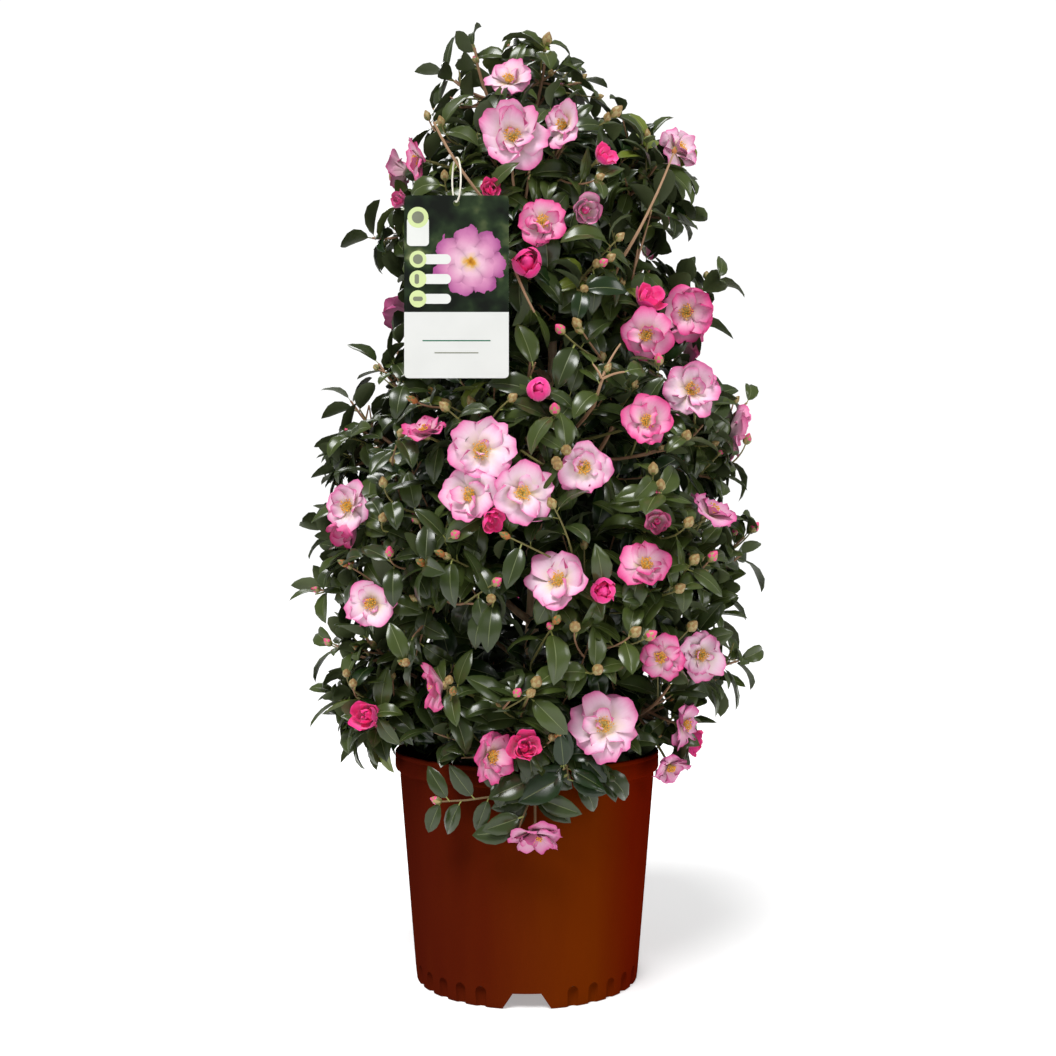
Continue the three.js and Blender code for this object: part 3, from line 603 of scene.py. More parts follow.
# A tube along a curve: a sheet of faces rolled round it and closed at both ends. Its bark has
# long ridges, finer ones that wind round it, and a leaf's scar here and there
def addLimb(bm, points, radii, look, seed):
    sheet = bmesh.ops.create_grid(bm, x_segments=look["rings"], y_segments=look["sides"], size=1)["verts"]
    next01 = numberStream(seed)
    phases = [2 * math.pi * next01() for _ in range(6)]
    places = np.round([(vertex.co.x + 1) / 2 for vertex in sheet], 6)
    turns = [(vertex.co.y + 1) * math.pi for vertex in sheet]
    shares = np.unique(places)
    centres = np.array([curvePoint(points, share) for share in shares])
    tangents = unit(np.gradient(centres, axis=0))
    side = unit(np.cross(tangents[0], [0.3, 1.0, 0.1]))
    sideways = []
    for tangent in tangents:
        side = unit(side - tangent * (side @ tangent))
        sideways.append(side)
    for vertex, row, turn in zip(sheet, np.searchsorted(shares, places), turns):
        run = np.linalg.norm(centres[row] - centres[0])
        wrinkle = (
            0.5 * math.sin(5 * turn + run / 31 + phases[0]) * math.sin(run / 19 + phases[1])
            + 0.3 * math.sin(9 * turn - run / 17 + phases[2])
            + 0.2 * math.sin(13 * turn + run / 11 + phases[3])
            + 0.6 * max(math.sin(run / 7.5 + 2 * math.sin(turn + phases[4])), 0) ** 14)
        radius = np.interp(shares[row], np.linspace(0, 1, len(radii)), radii) + look["relief"] * wrinkle
        other = np.cross(tangents[row], sideways[row])
        vertex.co = centres[row] + radius * around(turn, sideways[row], other)
    bmesh.ops.remove_doubles(bm, verts=sheet, dist=0.002)
    closeEnds(bm, look["sides"])


def makeWood():
    bm = bmesh.new()
    addLimb(bm, stemPoints, stem["radii"], stem, 1)
    cut = cutAcross(bm, stem["footHeight"], (0, 0, -1), clear_outer=True)
    rim = [item for item in cut["geom_cut"] if isinstance(item, bmesh.types.BMEdge)]
    bmesh.ops.holes_fill(bm, edges=rim, sides=0)
    for face in bm.faces:
        face.material_index = 1
    nodes = ["stem"]
    for index, mass in enumerate(masses):
        if mass["tier"]:
            addLimb(bm, boughPoints(mass), bough["radii"], bough, 10 + index)
            nodes.append(f"bough_{mass['name']}")
    faceOut(bm)
    # The stem gets its own lighter bark, painted light
    litStemBark = {**bark, "colours": stem["colours"]}
    barks = [mottledMaterial("boughBark", bark), mottledMaterial("litStemBark", litStemBark)]
    standFor(finishPiece("trunk_and_boughs", bm, barks, 50), nodes)


# Blossoms: [across, height, width, form, turn, tilt, tone], in the source's order

frontBlossoms = [
    [-16, 899, 62, "open", -5, 8, "pale"], [-19, 959, 44, "open", 0, 30, "pale"],
    [36, 909, 46, "open", -38, 10, "pale"], [-122, 868, 42, "open", -60, -15, "mid"],
    [167, 884, 52, "open", 42, 18, "pale"], [17, 804, 46, "open", 5, 0, "mid"],
    [64, 815, 32, "cup", 10, -20, "pale"], [83, 874, 24, "cup", 35, 20, "deep"],
    [0, 759, 30, "ball", 0, 0, "deep"], [130, 722, 34, "cup", 30, 40, "deep"],
    [169, 707, 56, "open", -22, 0, "mid"], [127, 682, 46, "open", -10, -8, "mid"],
    [178, 625, 54, "open", 10, 10, "pale"], [130, 590, 48, "open", 10, 5, "mid"],
    [14, 624, 28, "ball", 0, 0, "deep"], [-110, 583, 42, "open", -20, 52, "mid"],
    [-49, 559, 60, "open", 8, 0, "pale"], [-64, 510, 52, "open", -22, -4, "pale"],
    [-4, 512, 56, "open", 6, -6, "pale"], [-38, 483, 26, "cup", 20, -25, "deep"],
    [61, 540, 46, "open", -8, 0, "pale"], [-195, 499, 48, "open", -20, 10, "pale"],
    [-195, 470, 34, "cup", -40, -40, "mid"], [-169, 394, 48, "open", -12, 0, "pale"],
    [32, 422, 56, "open", -15, 24, "pale"], [129, 438, 48, "open", 16, 20, "mid"],
    [82, 407, 26, "ball", 0, 0, "deep"], [140, 481, 26, "cup", 0, -10, "mid"],
    [202, 497, 48, "open", 38, 42, "dusky"], [188, 339, 50, "open", 8, 5, "pale"],
    [142, 336, 42, "open", -22, 0, "mid"], [82, 265, 62, "open", -10, 20, "pale"],
    [174, 264, 46, "open", 58, 0, "dusky"], [-103, 306, 52, "open", -72, 0, "mid"],
    [-172, 274, 36, "cup", -20, 10, "deep"], [-34, 230, 48, "open", 48, 0, "mid"],
    [-2, 240, 36, "cup", 10, 10, "deep"], [155, 215, 40, "open", 30, -50, "dusky"],
    [9, 139, 54, "open", 0, -62, "dusky"], [-40, 838, 24, "cup", 0, 0, "deep"],
    [-137, 826, 22, "cup", -40, 0, "mid"],
]
backBlossoms = {
    "count": 20, "spread": 196, "lowest": 250, "openShare": 0.72,
    "tones": ["pale", "mid", "pale", "mid", "dusky"],
    "open": [44, 62], "cup": [26, 34], "inset": 4, "seed": 7000, "aside": 0.9,
}
depthShare = {"open": 0.45, "cup": 0.8, "ball": 1}


def listBlossoms():
    found = []

    def addBlossom(centre, turn, tilt, width, form, tone, front):
        facing = ringPoint(math.cos(tilt), turn, math.sin(tilt))
        foot = centre - facing * width * depthShare[form] * 0.5
        found.append({
            "centre": centre, "facing": facing, "foot": foot, "width": width, "form": form,
            "tone": tone, "front": front, "mass": massAt(centre)})

    inset = backBlossoms["inset"]
    for across, height, width, form, turn, tilt, tone in frontBlossoms:
        centre = seenOnCrown(across, height, inset)
        addBlossom(centre, math.radians(turn - 90), math.radians(tilt), width, form, tone, True)
    count, spread = backBlossoms["count"], backBlossoms["spread"]
    for k, height in enumerate(evenHeights(count)):
        next01 = numberStream(backBlossoms["seed"] + k)
        azimuth = math.radians(90 + (k * goldenAngle) % spread - spread / 2)
        height = max(height, backBlossoms["lowest"])
        centre = ringPoint(crownReach(azimuth, height) - inset, azimuth, height)
        form = "open" if next01() < backBlossoms["openShare"] else "cup"
        width = between(next01, backBlossoms[form])
        turn = azimuth + swing(next01, backBlossoms["aside"])
        tone = backBlossoms["tones"][k % 5] if form == "open" else "deep"
        addBlossom(centre, turn, (next01() - 0.35) * 0.8, width, form, tone, False)
    return found


blossoms = listBlossoms()


# Shoots: each is a bent line from start to end, and bears leaves

shoots = {
    "spreadCount": 110, "tipSeed": 0, "twigSeed": 500, "sideSeed": 20000, "innerSeed": 40000,
    "tipDepth": 22, "tipSwing": 12, "leastLength": 18, "endLeaf": 30,
    "mainRadii": [2.3, 1.2], "topRadii": [1.6, 1.0], "hangingRadii": [1.7, 0.9],
    "sideRadii": [1.15, 0.75], "blossomRadii": [1.8, 1.3], "leaderRadii": [2.2, 1.5],
    "seenRadii": [1.7, 1.1], "seenFineRadii": [1.3, 0.9], "sprayRadii": [1.5, 0.9],
    "seenRootRadii": [2.1, 1.7], "sprayRootRadii": [2.0, 1.5], "seenSize": 0.86, "stalkSeed": 25000,
    "sidePlaces": [0.44, 0.62, 0.8], "sideLength": [42, 72], "sideAngle": [30, 58],
    "sideInset": 26, "sideTop": 975, "sideLeast": 16, "sideArch": 0.06,
    "innerCount": 320, "innerDepth": [44, 150], "innerHeights": [262, 880],
    "rings": 7, "sides": 5, "arch": 0.14,
}
twigTones = [
    plainMaterial(name, paint(*colour), roughness) for name, colour, roughness in (
        ("twigWood", (142, 106, 78), 0.7), ("twigGreen", (112, 106, 56), 0.6),
        ("twigPale", (156, 122, 92), 0.7), ("twigHanging", (104, 84, 48), 0.65))]


def listTips():
    tips = []
    for k, height in enumerate(evenHeights(shoots["spreadCount"])):
        next01 = numberStream(shoots["tipSeed"] + k)
        azimuth = math.radians(k * goldenAngle + shoots["tipSwing"] * next01())
        tips.append(ringPoint(crownReach(azimuth, height) - shoots["tipDepth"] * next01(), azimuth, height))
    tips += [np.array([across, 0.0, height]) for across, height in outlineTips]
    tips += [np.array([0.0, depth, height]) for depth, height in backTips]
    tips += [seenOnCrown(across, height, 0) for across, height in hangingTips]
    return tips


def onShoot(shoot, share):
    a, b, c = shoot["start"], shoot["bend"], shoot["end"]
    point = (1 - share) ** 2 * a + 2 * share * (1 - share) * b + share ** 2 * c
    tangent = unit((1 - share) * (b - a) + share * (c - b))
    return point, tangent


def makeShoot(start, end, radii, level, mass=None, bend=None, arch=shoots["arch"], **traits):
    if bend is None:
        bend = (start + end) / 2 - upward * np.linalg.norm(end - start) * arch
    shoot = {
        "start": start, "bend": bend, "end": end, "radii": radii, "level": level,
        "mass": massAt(end) if mass is None else mass, "hangs": False, "free": False,
        "seen": False, "pale": False, "flat": False, "bare": False}
    return {**shoot, **traits}


# The twig that carries a shoot's start, from the heart of the mass there
def rootOf(shoot, radii):
    mass = massAt(shoot["start"])
    return makeShoot(masses[mass]["heart"], shoot["start"], radii, "inner", mass, roll=0.0, size=0.9)


# The main twigs, grown to their tips by the source's rule
def growMains(tips):
    forks = [[mass["heart"]] for mass in masses]
    mains = []
    for index, tip in enumerate(tips):
        mass = massAt(tip)
        next01 = numberStream(shoots["twigSeed"] + index)
        gaps = [np.linalg.norm(fork - tip) for fork in forks[mass]]
        start = forks[mass][int(np.argmin(gaps))]
        hangs = tip[2] < crown["hangingTop"]
        bend = overRim(tip) if hangs else None
        back = bend if hangs else start
        length = max(np.linalg.norm(tip - back) - shoots["endLeaf"], shoots["leastLength"])
        end = back + unit(tip - back) * length
        if start is forks[mass][0] and not hangs:
            forks[mass].append((start + end) / 2)
        kind = "hanging" if hangs else "top" if masses[mass]["name"] == "top" else "main"
        mains.append(makeShoot(
            start, end, shoots[f"{kind}Radii"], "main", mass, bend, roll=next01() * 360,
            size=0.8 + 0.2 * next01(), index=index, hangs=hangs, free=index >= shoots["spreadCount"]))
    return mains


# Finer twigs that leave a main twig on alternate sides, within the crown's reach
def growSides(mains):
    sides = []
    for main in mains:
        for j, share in enumerate(shoots["sidePlaces"]):
            next01 = numberStream(shoots["sideSeed"] + 10 * main["index"] + j)
            place = share + swing(next01, 0.1)
            if main["hangs"] and place < 0.55:
                continue
            point, tangent = onShoot(main, place)
            side = unit(np.cross(tangent, upward) + 1e-6)
            roll = math.radians(main["roll"] + goldenAngle * j + 40 * next01())
            angle = math.radians(between(next01, shoots["sideAngle"]))
            length = between(next01, shoots["sideLength"])
            off = around(roll, side, np.cross(tangent, side))
            way = unit(around(angle, tangent, off) + 0.4 * upward)
            limit = crown["hangingReach"] if main["hangs"] else 1e9
            end = point + way * length
            for _ in range(4):
                reach = min(crownReach(math.atan2(end[1], end[0]), end[2]) - shoots["sideInset"], limit)
                if math.hypot(end[0], end[1]) <= reach and end[2] < shoots["sideTop"]:
                    break
                length *= 0.78
                end = point + way * length
            if length < shoots["sideLeast"] or pastWalls(main["mass"], end) > crown["spaceSlack"]:
                continue
            sides.append(makeShoot(
                point, end, shoots["sideRadii"], "side", main["mass"], arch=shoots["sideArch"],
                roll=next01() * 360, size=0.76 + 0.2 * next01(), hangs=main["hangs"]))
    return sides


# Short leafy twigs deeper in the crown
def growInner():
    inner = []
    lowest, highest = shoots["innerHeights"]
    for k, height in enumerate(evenHeights(shoots["innerCount"])):
        next01 = numberStream(shoots["innerSeed"] + k)
        azimuth = math.radians((k + 0.5) * goldenAngle + 60 * next01())
        least, most = shoots["innerDepth"]
        reach = max(crownReach(azimuth, height) - least - (most - least) * next01(), 20)
        end = ringPoint(reach, azimuth, max(min(height, highest), lowest))
        start = masses[massAt(end)]["heart"] * 0.6 + end * 0.4 - 12 * upward
        inner.append(makeShoot(
            start, end, shoots["sideRadii"], "inner", roll=next01() * 360, size=0.84 + 0.16 * next01()))
    return inner


# Upright leading twigs at the top: [across, depth, height] of the start, the bend and the end
leaders = [
    [[-12, 0, 886], [-48, -24, 922], [-55, -26, 978]],
    [[-10, 2, 906], [-2, -8, 950], [-20, -6, 990]],
    [[-6, 0, 884], [16, -24, 920], [20, -22, 978]],
    [[-8, 2, 896], [10, 24, 940], [40, 20, 964]],
]
# Twigs that show in front of the leaves: [across, height, inset] of the start, the bend and the end
seenTwigs = [
    [[100, 760, 40], [130, 806, -10], [157, 876, 6]], [[-16, 764, 24], [-10, 738, -6], [8, 706, 12]],
    [[-8, 815, 40], [-20, 850, 14], [-13, 880, 20]], [[-4, 815, 40], [4, 850, 14], [2, 880, 20]],
    [[72, 606, 30], [78, 628, -4], [86, 648, -4]], [[81, 637, -3], [88, 656, -8], [100, 672, -4]],
    [[80, 634, -3], [92, 641, -7], [104, 642, -4]], [[80, 635, -3], [77, 643, -5], [71, 650, -2]],
]
# Sprays that hang before the pot: [across, depth, height]
hangingSprays = [
    [[34, -112, 236], [-6, -176, 216], [-82, -146, 209]],
    [[20, -112, 238], [4, -170, 222], [-10, -162, 180]],
]
# Buds that show in front: [across, height, kind], where kind 0 is green, 1 pink and 2 faded
seenBuds = [
    [-57, 986, 0], [20, 992, 0], [91, 916, 0], [-105, 912, 0], [-91, 906, 0], [-88, 848, 0], [74, 848, 0],
    [96, 783, 0], [59, 730, 0], [86, 762, 0], [78, 757, 1], [-19, 612, 0], [-136, 573, 0], [-153, 519, 0],
    [-155, 483, 0], [-147, 445, 1], [-80, 466, 1], [-36, 415, 1], [-192, 435, 2], [-89, 446, 2],
    [-19, 465, 2],
    [-37, 398, 0], [-110, 436, 2], [-84, 601, 0], [-118, 610, 2], [29, 497, 0], [31, 544, 0], [56, 690, 0],
    [39, 684, 1], [141, 650, 1], [169, 570, 0], [234, 565, 1], [34, 542, 0], [42, 556, 0], [135, 533, 0],
    [142, 516, 0], [30, 598, 1], [170, 477, 0], [240, 471, 1], [195, 440, 1], [176, 437, 0], [159, 408, 0],
    [51, 366, 0], [30, 374, 2], [73, 321, 0], [112, 360, 0], [127, 357, 1], [173, 366, 0], [8, 306, 0],
    [2, 296, 0], [218, 335, 0], [31, 252, 2], [-130, 330, 0], [-193, 317, 0], [-186, 306, 0], [-84, 309, 0],
    [-80, 297, 2], [-13, 296, 1], [1, 296, 0],
]
seenBud = {"clear": 9, "clearDepth": 26, "seed": 26000, "back": 20, "deeper": 16}


def growLeaders():
    found = []
    for k, points in enumerate(leaders):
        start, bend, end = np.array(points, float)
        found.append(makeShoot(
            start, end, shoots["leaderRadii"], "main", len(masses) - 1, bend,
            roll=70.0 * k, size=shoots["seenSize"], free=True))
    return found


def growSeenTwigs():
    found, roots = [], []
    for k, points in enumerate(seenTwigs):
        start, bend, end = (seenOnCrown(*point) for point in points)
        radii = shoots["seenRadii" if k < 5 else "seenFineRadii"]
        found.append(makeShoot(
            start, end, radii, "side", bend=bend, roll=50.0 * k, size=shoots["seenSize"], pale=True))
        if points[0][2] > 0:
            roots.append(rootOf(found[-1], shoots["seenRootRadii"]))
    for points in hangingSprays:
        start, bend, end = np.array(points, float)
        found.append(makeShoot(
            start, end, shoots["sprayRadii"], "main", massAt(start), bend,
            roll=90.0, size=shoots["seenSize"], hangs=True, flat=True))
        roots.append(rootOf(found[-1], shoots["sprayRootRadii"]))
    return found + roots


# A short twig with a ring of leaves carries each bud that shows in front
def growBudTwigs(carriers):
    places = [0.4, 0.6, 0.8, 1.0]
    points = np.array([onShoot(shoot, share)[0] for shoot in carriers for share in places])
    found = []
    for k, (across, height, kind) in enumerate(seenBuds):
        next01 = numberStream(seenBud["seed"] + k)
        end = seenOnCrown(across, height, 2)
        level = levelWay(end)
        outward = unit(0.45 * level + np.array([swing(next01, 2.2), -0.1, 0.3 + 0.8 * next01()]))
        wanted = end - outward * seenBud["back"] - level * seenBud["deeper"]
        start = points[int(np.argmin(np.linalg.norm(points - wanted, axis=1)))]
        length = np.linalg.norm(end - start)
        outward = unit(outward + 0.9 * (end - start) / length)
        found.append(makeShoot(
            start, end, shoots["sideRadii"], "side", bend=end - outward * length * 0.5,
            roll=next01() * 360, size=0.78 + 0.18 * next01(), seen=True, kind=kind))
    return found


# The stalk that carries each blossom
def growStalks():
    stalks = []
    for index, blossom in enumerate(blossoms):
        heart, foot = masses[blossom["mass"]]["heart"], blossom["foot"]
        hangs = blossom["centre"][2] < crown["hangingTop"]
        bend = (heart + foot) / 2 * 0.45 + (foot - blossom["facing"] * 34) * 0.55
        if hangs:
            bend = overRim(blossom["centre"]) + upward * 24
        next01 = numberStream(shoots["stalkSeed"] + index)
        stalks.append(makeShoot(
            heart, foot, shoots["blossomRadii"], "stalk", blossom["mass"], bend,
            roll=next01() * 360, size=0.86 + 0.14 * next01(), hangs=hangs))
    return stalks


# Leaves

leaf = {
    "rows": [0, 0.09, 0.25, 0.45, 0.67, 0.87, 1], "columns": [-1, -0.55, -0.04, 0.04, 0.55, 1],
    "seed": 60000, "thickness": 0.9, "length": [35, 48], "widthShare": [0.46, 0.58], "petiole": 0.12,
    "fold": [0.04, 0.5], "bend": [0.35, 1.6], "twist": 0.5, "sunk": 0.6, "pillow": 0.08,
    "wave": 0.06, "endSize": 0.84, "endAngle": 0.4, "spiral": 144,
    "counts": {"main": 7, "side": 5, "inner": 9, "stalk": 6}, "countOnTop": 4,
    "firstPlace": {"main": 0.5, "side": 0.3, "inner": 0.1, "stalk": 0.66},
    "angle": {"main": [46, 82], "side": [44, 74], "inner": [40, 100], "stalk": [60, 95]},
    "closest": 7.0, "closestOnTop": 18.0, "topHeight": 925, "overReach": 5, "lowest": 95,
    "hanging": [6, 0.5], "flatSpray": [8, 0.32], "hangingAngle": [52, 74], "hangingBend": 0.4,
    "underBud": [5, 0.55], "underBudAngle": [64, 92], "chosenReach": [10, 22],
    "toneShares": [0.45, 0.94, 0.975], "specular": 0.1, "coat": 0.72,
    "rib": paint(140, 150, 96), "underside": paint(84, 94, 58), "stalk": paint(128, 132, 66),
}
leafSlots = [
    ["leafDeep", paint(46, 57, 26), 0.3], ["leafMid", paint(60, 72, 31), 0.32],
    ["leafFresh", paint(100, 112, 40), 0.36], ["leafShade", paint(22, 40, 11), 0.36],
]
deepTone, midTone, freshTone, shadeTone = range(4)


def leafHalf(t):
    return 1.607 * t ** 0.75 * (1 - t) ** 0.95


# One leaf, a unit long, in four materials: upper side, rib, underside and petiole
def makeLeafShape():
    bm = bmesh.new()
    rows, reach = leaf["rows"], leaf["petiole"]

    def addSheet(columns, height):
        across, along = len(columns) - 1, len(rows) - 1
        made = bmesh.ops.create_grid(bm, x_segments=across, y_segments=along, size=1)["verts"]
        faces = facesOf(made)
        for face in faces:
            middle = face.calc_center_median()
            onRib = abs(middle.x) < 0.05 and middle.y < 1 - 2 / along
            face.material_index = 2 if height < 0 else 1 if onRib else 0
        for vertex in made:
            s = np.interp(vertex.co.x, np.linspace(-1, 1, across + 1), columns)
            t = np.interp(vertex.co.y, np.linspace(-1, 1, along + 1), rows)
            vertex.co = (s * leafHalf(t), t, height * (1 - s * s) * (4 * t * (1 - t)) ** 0.5)
        if height < 0:
            bmesh.ops.reverse_faces(bm, faces=faces)

    addSheet(leaf["columns"], 0.5)
    addSheet([-1, 0, 1], -0.5)
    bmesh.ops.remove_doubles(bm, verts=bm.verts[:], dist=1e-5)
    stalk = bmesh.ops.create_cone(bm, segments=3, radius1=0.05, radius2=0.035, depth=reach + 0.04)["verts"]
    for vertex in stalk:
        x, y, z = vertex.co
        vertex.co = (x, z - reach / 2 + 0.02, y * 12)
    # Laid down so, the cone is mirrored, and its faces are turned back
    bmesh.ops.reverse_faces(bm, faces=facesOf(stalk))
    for face in facesOf(stalk):
        face.material_index = 3
    return readShape(bm)


# Places copies of the leaf: root, the way it points, the way its upper side faces
def placeLeaves(shape, leaves):
    x, y, z = shape["points"].T[:, None, :]
    field = fieldsOf(leaves)
    length, width, fold, wave, twist, bend = (
        field[key][:, None] for key in ("length", "width", "fold", "wave", "twist", "bend"))
    half = x * width
    blade = np.maximum(leafHalf(np.clip(y, 0, 1)), 1e-3)
    s = np.clip(np.abs(x) / blade, 0, 1)
    height = z * leaf["thickness"] + np.abs(half) * fold
    height = height + width * leaf["pillow"] * (1 - (2 * s - 1) ** 2) * np.sqrt(blade * 2)
    height = height + width * leaf["wave"] * s ** 2 * blade * np.sin(8 * y * np.sign(x + 0.01) + wave)
    half, height = turned(half, height, twist * np.clip(y, 0, 1))
    angle = bend * y
    run = length * np.sin(angle) / bend + height * np.sin(angle)
    rise = -length * (1 - np.cos(angle)) / bend + height * np.cos(angle)
    way = unit(field["way"])
    facing = unit(field["facing"] - way * dot(field["facing"], way))
    return laidOut(field["root"], [(way, run), (np.cross(way, facing), half), (facing, rise)])


def leavesOnShoot(shoot, next01):
    level, hangs, seen = shoot["level"], shoot["hangs"], shoot["seen"]
    length = np.linalg.norm(shoot["end"] - shoot["start"])
    count, first = leaf["counts"][level], leaf["firstPlace"][level]
    if level == "side":
        count = max(3, min(count, round(length / 10) + 1))
    elif hangs:
        count, first = leaf["hanging"]
    elif level == "main" and masses[shoot["mass"]]["name"] == "top" and not shoot["free"]:
        count = leaf["countOnTop"]
    least, most = leaf["angle"][level]
    draw = next01()
    tone = int(np.searchsorted(leaf["toneShares"], draw))
    # Leaves inside the crown and on hanging sprays mostly take the darkest tone: painted shade
    if level == "inner":
        tone = shadeTone if draw < 0.7 else deepTone
    if hangs:
        tone = shadeTone if draw < 0.5 else deepTone
    if shoot["flat"]:
        count, first = leaf["flatSpray"]
    if seen:
        tone = midTone if tone == freshTone else tone
        count, first = leaf["underBud"]
        least, most = leaf["underBudAngle"]
    found = []
    for k in range(count):
        point, tangent = onShoot(shoot, 1 - (1 - first) * (k / max(count - 1, 1)) ** 1.3)
        side = np.cross(tangent, upward)
        side = unit(side) if np.linalg.norm(side) > 0.05 else np.array([1.0, 0, 0])
        roll = math.radians(shoot["roll"] + leaf["spiral"] * k + swing(next01, 50))
        angle = math.radians(least + (most - least) * k / count + swing(next01, 26))
        if k == 0 and level != "stalk" and not seen:
            angle *= leaf["endAngle"]
        off = around(roll, side, np.cross(tangent, side))
        flat = levelWay(point)
        if hangs:
            rank = unit(np.cross(tangent, flat)) * (1 if k % 2 else -1)
            off = unit(rank + 0.3 * off)
            angle = math.radians(between(next01, leaf["hangingAngle"]))
        way = unit(around(angle, tangent, off))
        wander = np.array([swing(next01, 1) for _ in range(3)])
        outward = outwardAt(point)
        if point[2] > leaf["topHeight"]:
            outward = unit(outward - 0.5 * upward)
        facing = unit(outward + 0.35 * tangent + 1.15 * wander)
        if hangs:
            facing = unit(flat + 0.5 * wander + 0.35 * upward)
        if abs(facing @ way) > 0.93:
            facing = unit(facing + 0.8 * side)
        size = between(next01, leaf["length"]) * shoot["size"] / 0.9
        if k == 0:
            size *= leaf["endSize"]
        found.append({
            "root": point + way * (size * leaf["petiole"] - leaf["sunk"]), "way": way, "facing": facing,
            "length": size, "width": size * between(next01, leaf["widthShare"]),
            "fold": between(next01, leaf["fold"]),
            "bend": between(next01, leaf["bend"]) * (leaf["hangingBend"] if hangs else 1),
            "twist": swing(next01, leaf["twist"] * 2), "wave": 6.28 * next01(),
            "tone": midTone if tone == freshTone and k > 3 else tone, "free": shoot["free"] and k < 4,
            "chosen": 2 if hangs else 1 if seen else 0, "mass": shoot["mass"],
            "level": list(leaf["counts"]).index(level)})
    return found


# Dark hollows between the sprays on the side that faces the viewer:
# [across, height, half width, half height, depth] in the plane of the stem. The last three show the stem
hollows = [
    [-50, 385, 62, 28, 85], [67, 473, 44, 22, 60], [105, 556, 54, 22, 60], [132, 772, 40, 20, 60],
    [131, 291, 34, 28, 60], [-109, 218, 30, 20, 400], [-120, 182, 14, 30, 400], [88, 645, 24, 30, 6],
    [-53, 950, 11, 30, 400], [18, 952, 11, 28, 400],
    [27, 651, 19, 30, 400], [14, 553, 17, 22, 400], [3, 384, 16, 28, 400],
]


def inHollows(points):
    across, height = seenPlace(points)
    depth = leafDepth(points)
    inside = np.zeros(np.shape(depth), bool)
    for middle, level, halfWidth, halfHeight, deepest in hollows:
        near = ((across - middle) / halfWidth) ** 2 + ((height - level) / halfHeight) ** 2 < 1
        inside = inside | near & (depth < deepest)
    return inside & (points[..., 1] < 0)


def inBlossoms(points, radius, behind):
    inside = np.zeros(len(points), bool)
    for blossom in blossoms:
        size = blossom["width"]
        ahead, aside = offAxis(points, blossom["centre"], blossom["facing"])
        inside |= (aside < radius * size) & (ahead > -behind * size) & (ahead < 0.9 * size)
    return inside


# Whether points stand before a blossom that the camera sees
def beforeBlossoms(points):
    inside = np.zeros(len(points), bool)
    for blossom in blossoms:
        if blossom["front"]:
            ahead, aside = offAxis(points, blossom["centre"], unit(eye - blossom["centre"]))
            inside |= (aside < 0.4 * blossom["width"]) & (ahead > 0) & (ahead < 160)
    return inside


# A finer twig that would cross the mouth of a hollow or pierce a blossom is left out
def standsClear(shoot):
    if shoot["level"] not in ("side", "inner") or shoot["pale"] or shoot["seen"]:
        return True
    points = np.array([onShoot(shoot, share)[0] for share in (0.55, 0.7, 0.85, 1.0)])
    return not inBlossoms(points, 0.5, 0.2).any() and not inHollows(points[1])


def inPot(points):
    reach, z = np.hypot(points[:, 0], points[:, 1]), points[:, 2]
    wall = np.interp(z, [0, pot["height"]], [pot["baseRadius"], pot["rimRadius"]])
    inWall = (z < pot["height"] + 2) & (reach < wall + 3) & (reach > wall - 16)
    return inWall | (z < pot["soilHeight"] + 8) & (reach < wall)


def nearLabel(points):
    x, y, z = points.T
    return ((np.abs(x - label["centre"][0]) < label["width"] / 2 + 5) & (y < label["centre"][1] + 7)
            & (z < label["top"] + 4) & (z > label["top"] - label["height"] - 6))


# Of leaves that lie alike and close together, the first one is kept
def thinLeaves(order, middle, facing):
    kept, cells, size = [], {}, leaf["closestOnTop"]
    for i in order:
        x, y, z = np.floor(middle[i] / size).astype(int)
        near = [
            j for dx in (-1, 0, 1) for dy in (-1, 0, 1) for dz in (-1, 0, 1)
            for j in cells.get((x + dx, y + dy, z + dz), ())]
        apart = leaf["closestOnTop" if middle[i][2] > leaf["topHeight"] else "closest"]
        if any(np.linalg.norm(middle[i] - middle[j]) < apart and facing[i] @ facing[j] > 0.6 for j in near):
            continue
        cells.setdefault((x, y, z), []).append(i)
        kept.append(i)
    return kept


# The leaves that stay clear of the pot, the label, the blossoms, the hollows and one another
def clearLeaves(leaves):
    field = fieldsOf(leaves)
    root, way, free, chosen = field["root"], unit(field["way"]), field["free"], field["chosen"]
    facing = unit(field["facing"] - way * dot(field["facing"], way))
    length, bend, width = (field[key][:, None] for key in ("length", "bend", "width"))
    side = np.cross(way, facing)

    def at(y, x=0.0):
        run = length * np.sin(bend * y) / bend
        rise = -length * (1 - np.cos(bend * y)) / bend
        return root + way * run + facing * rise + side * width * x

    keep = np.ones(len(leaves), bool)
    more = leaf["overReach"] + np.array([0, *leaf["chosenReach"]])[chosen]
    low, high = (np.array(corner[:]) / mm for corner in cadBounds)
    for points in (root, at(0.3), at(0.6), at(1.0), at(0.45, 0.5), at(0.45, -0.5)):
        keep &= ((points > low - 7) & (points < high + 7)).all(1) & (points[:, 2] > leaf["lowest"])
        keep &= free | (leafDepth(points) > -more)
        keep &= ~(inPot(points) | nearLabel(points))
        keep &= ~(inBlossoms(points, 0.46, 0.14) | beforeBlossoms(points))
    middle = at(0.5)
    keep &= (chosen > 0) | ~inHollows(middle)
    seenAcross, seenHeight = seenPlace(middle)
    shallow = (middle[:, 1] < 0) & (leafDepth(middle) < seenBud["clearDepth"])
    for across, height, _ in seenBuds:
        keep &= ~(shallow & (np.hypot(seenAcross - across, seenHeight - height) < seenBud["clear"]))
    order = np.argsort(field["level"], kind="stable")
    return [leaves[i] for i in thinLeaves(order[keep[order]], middle, facing)]


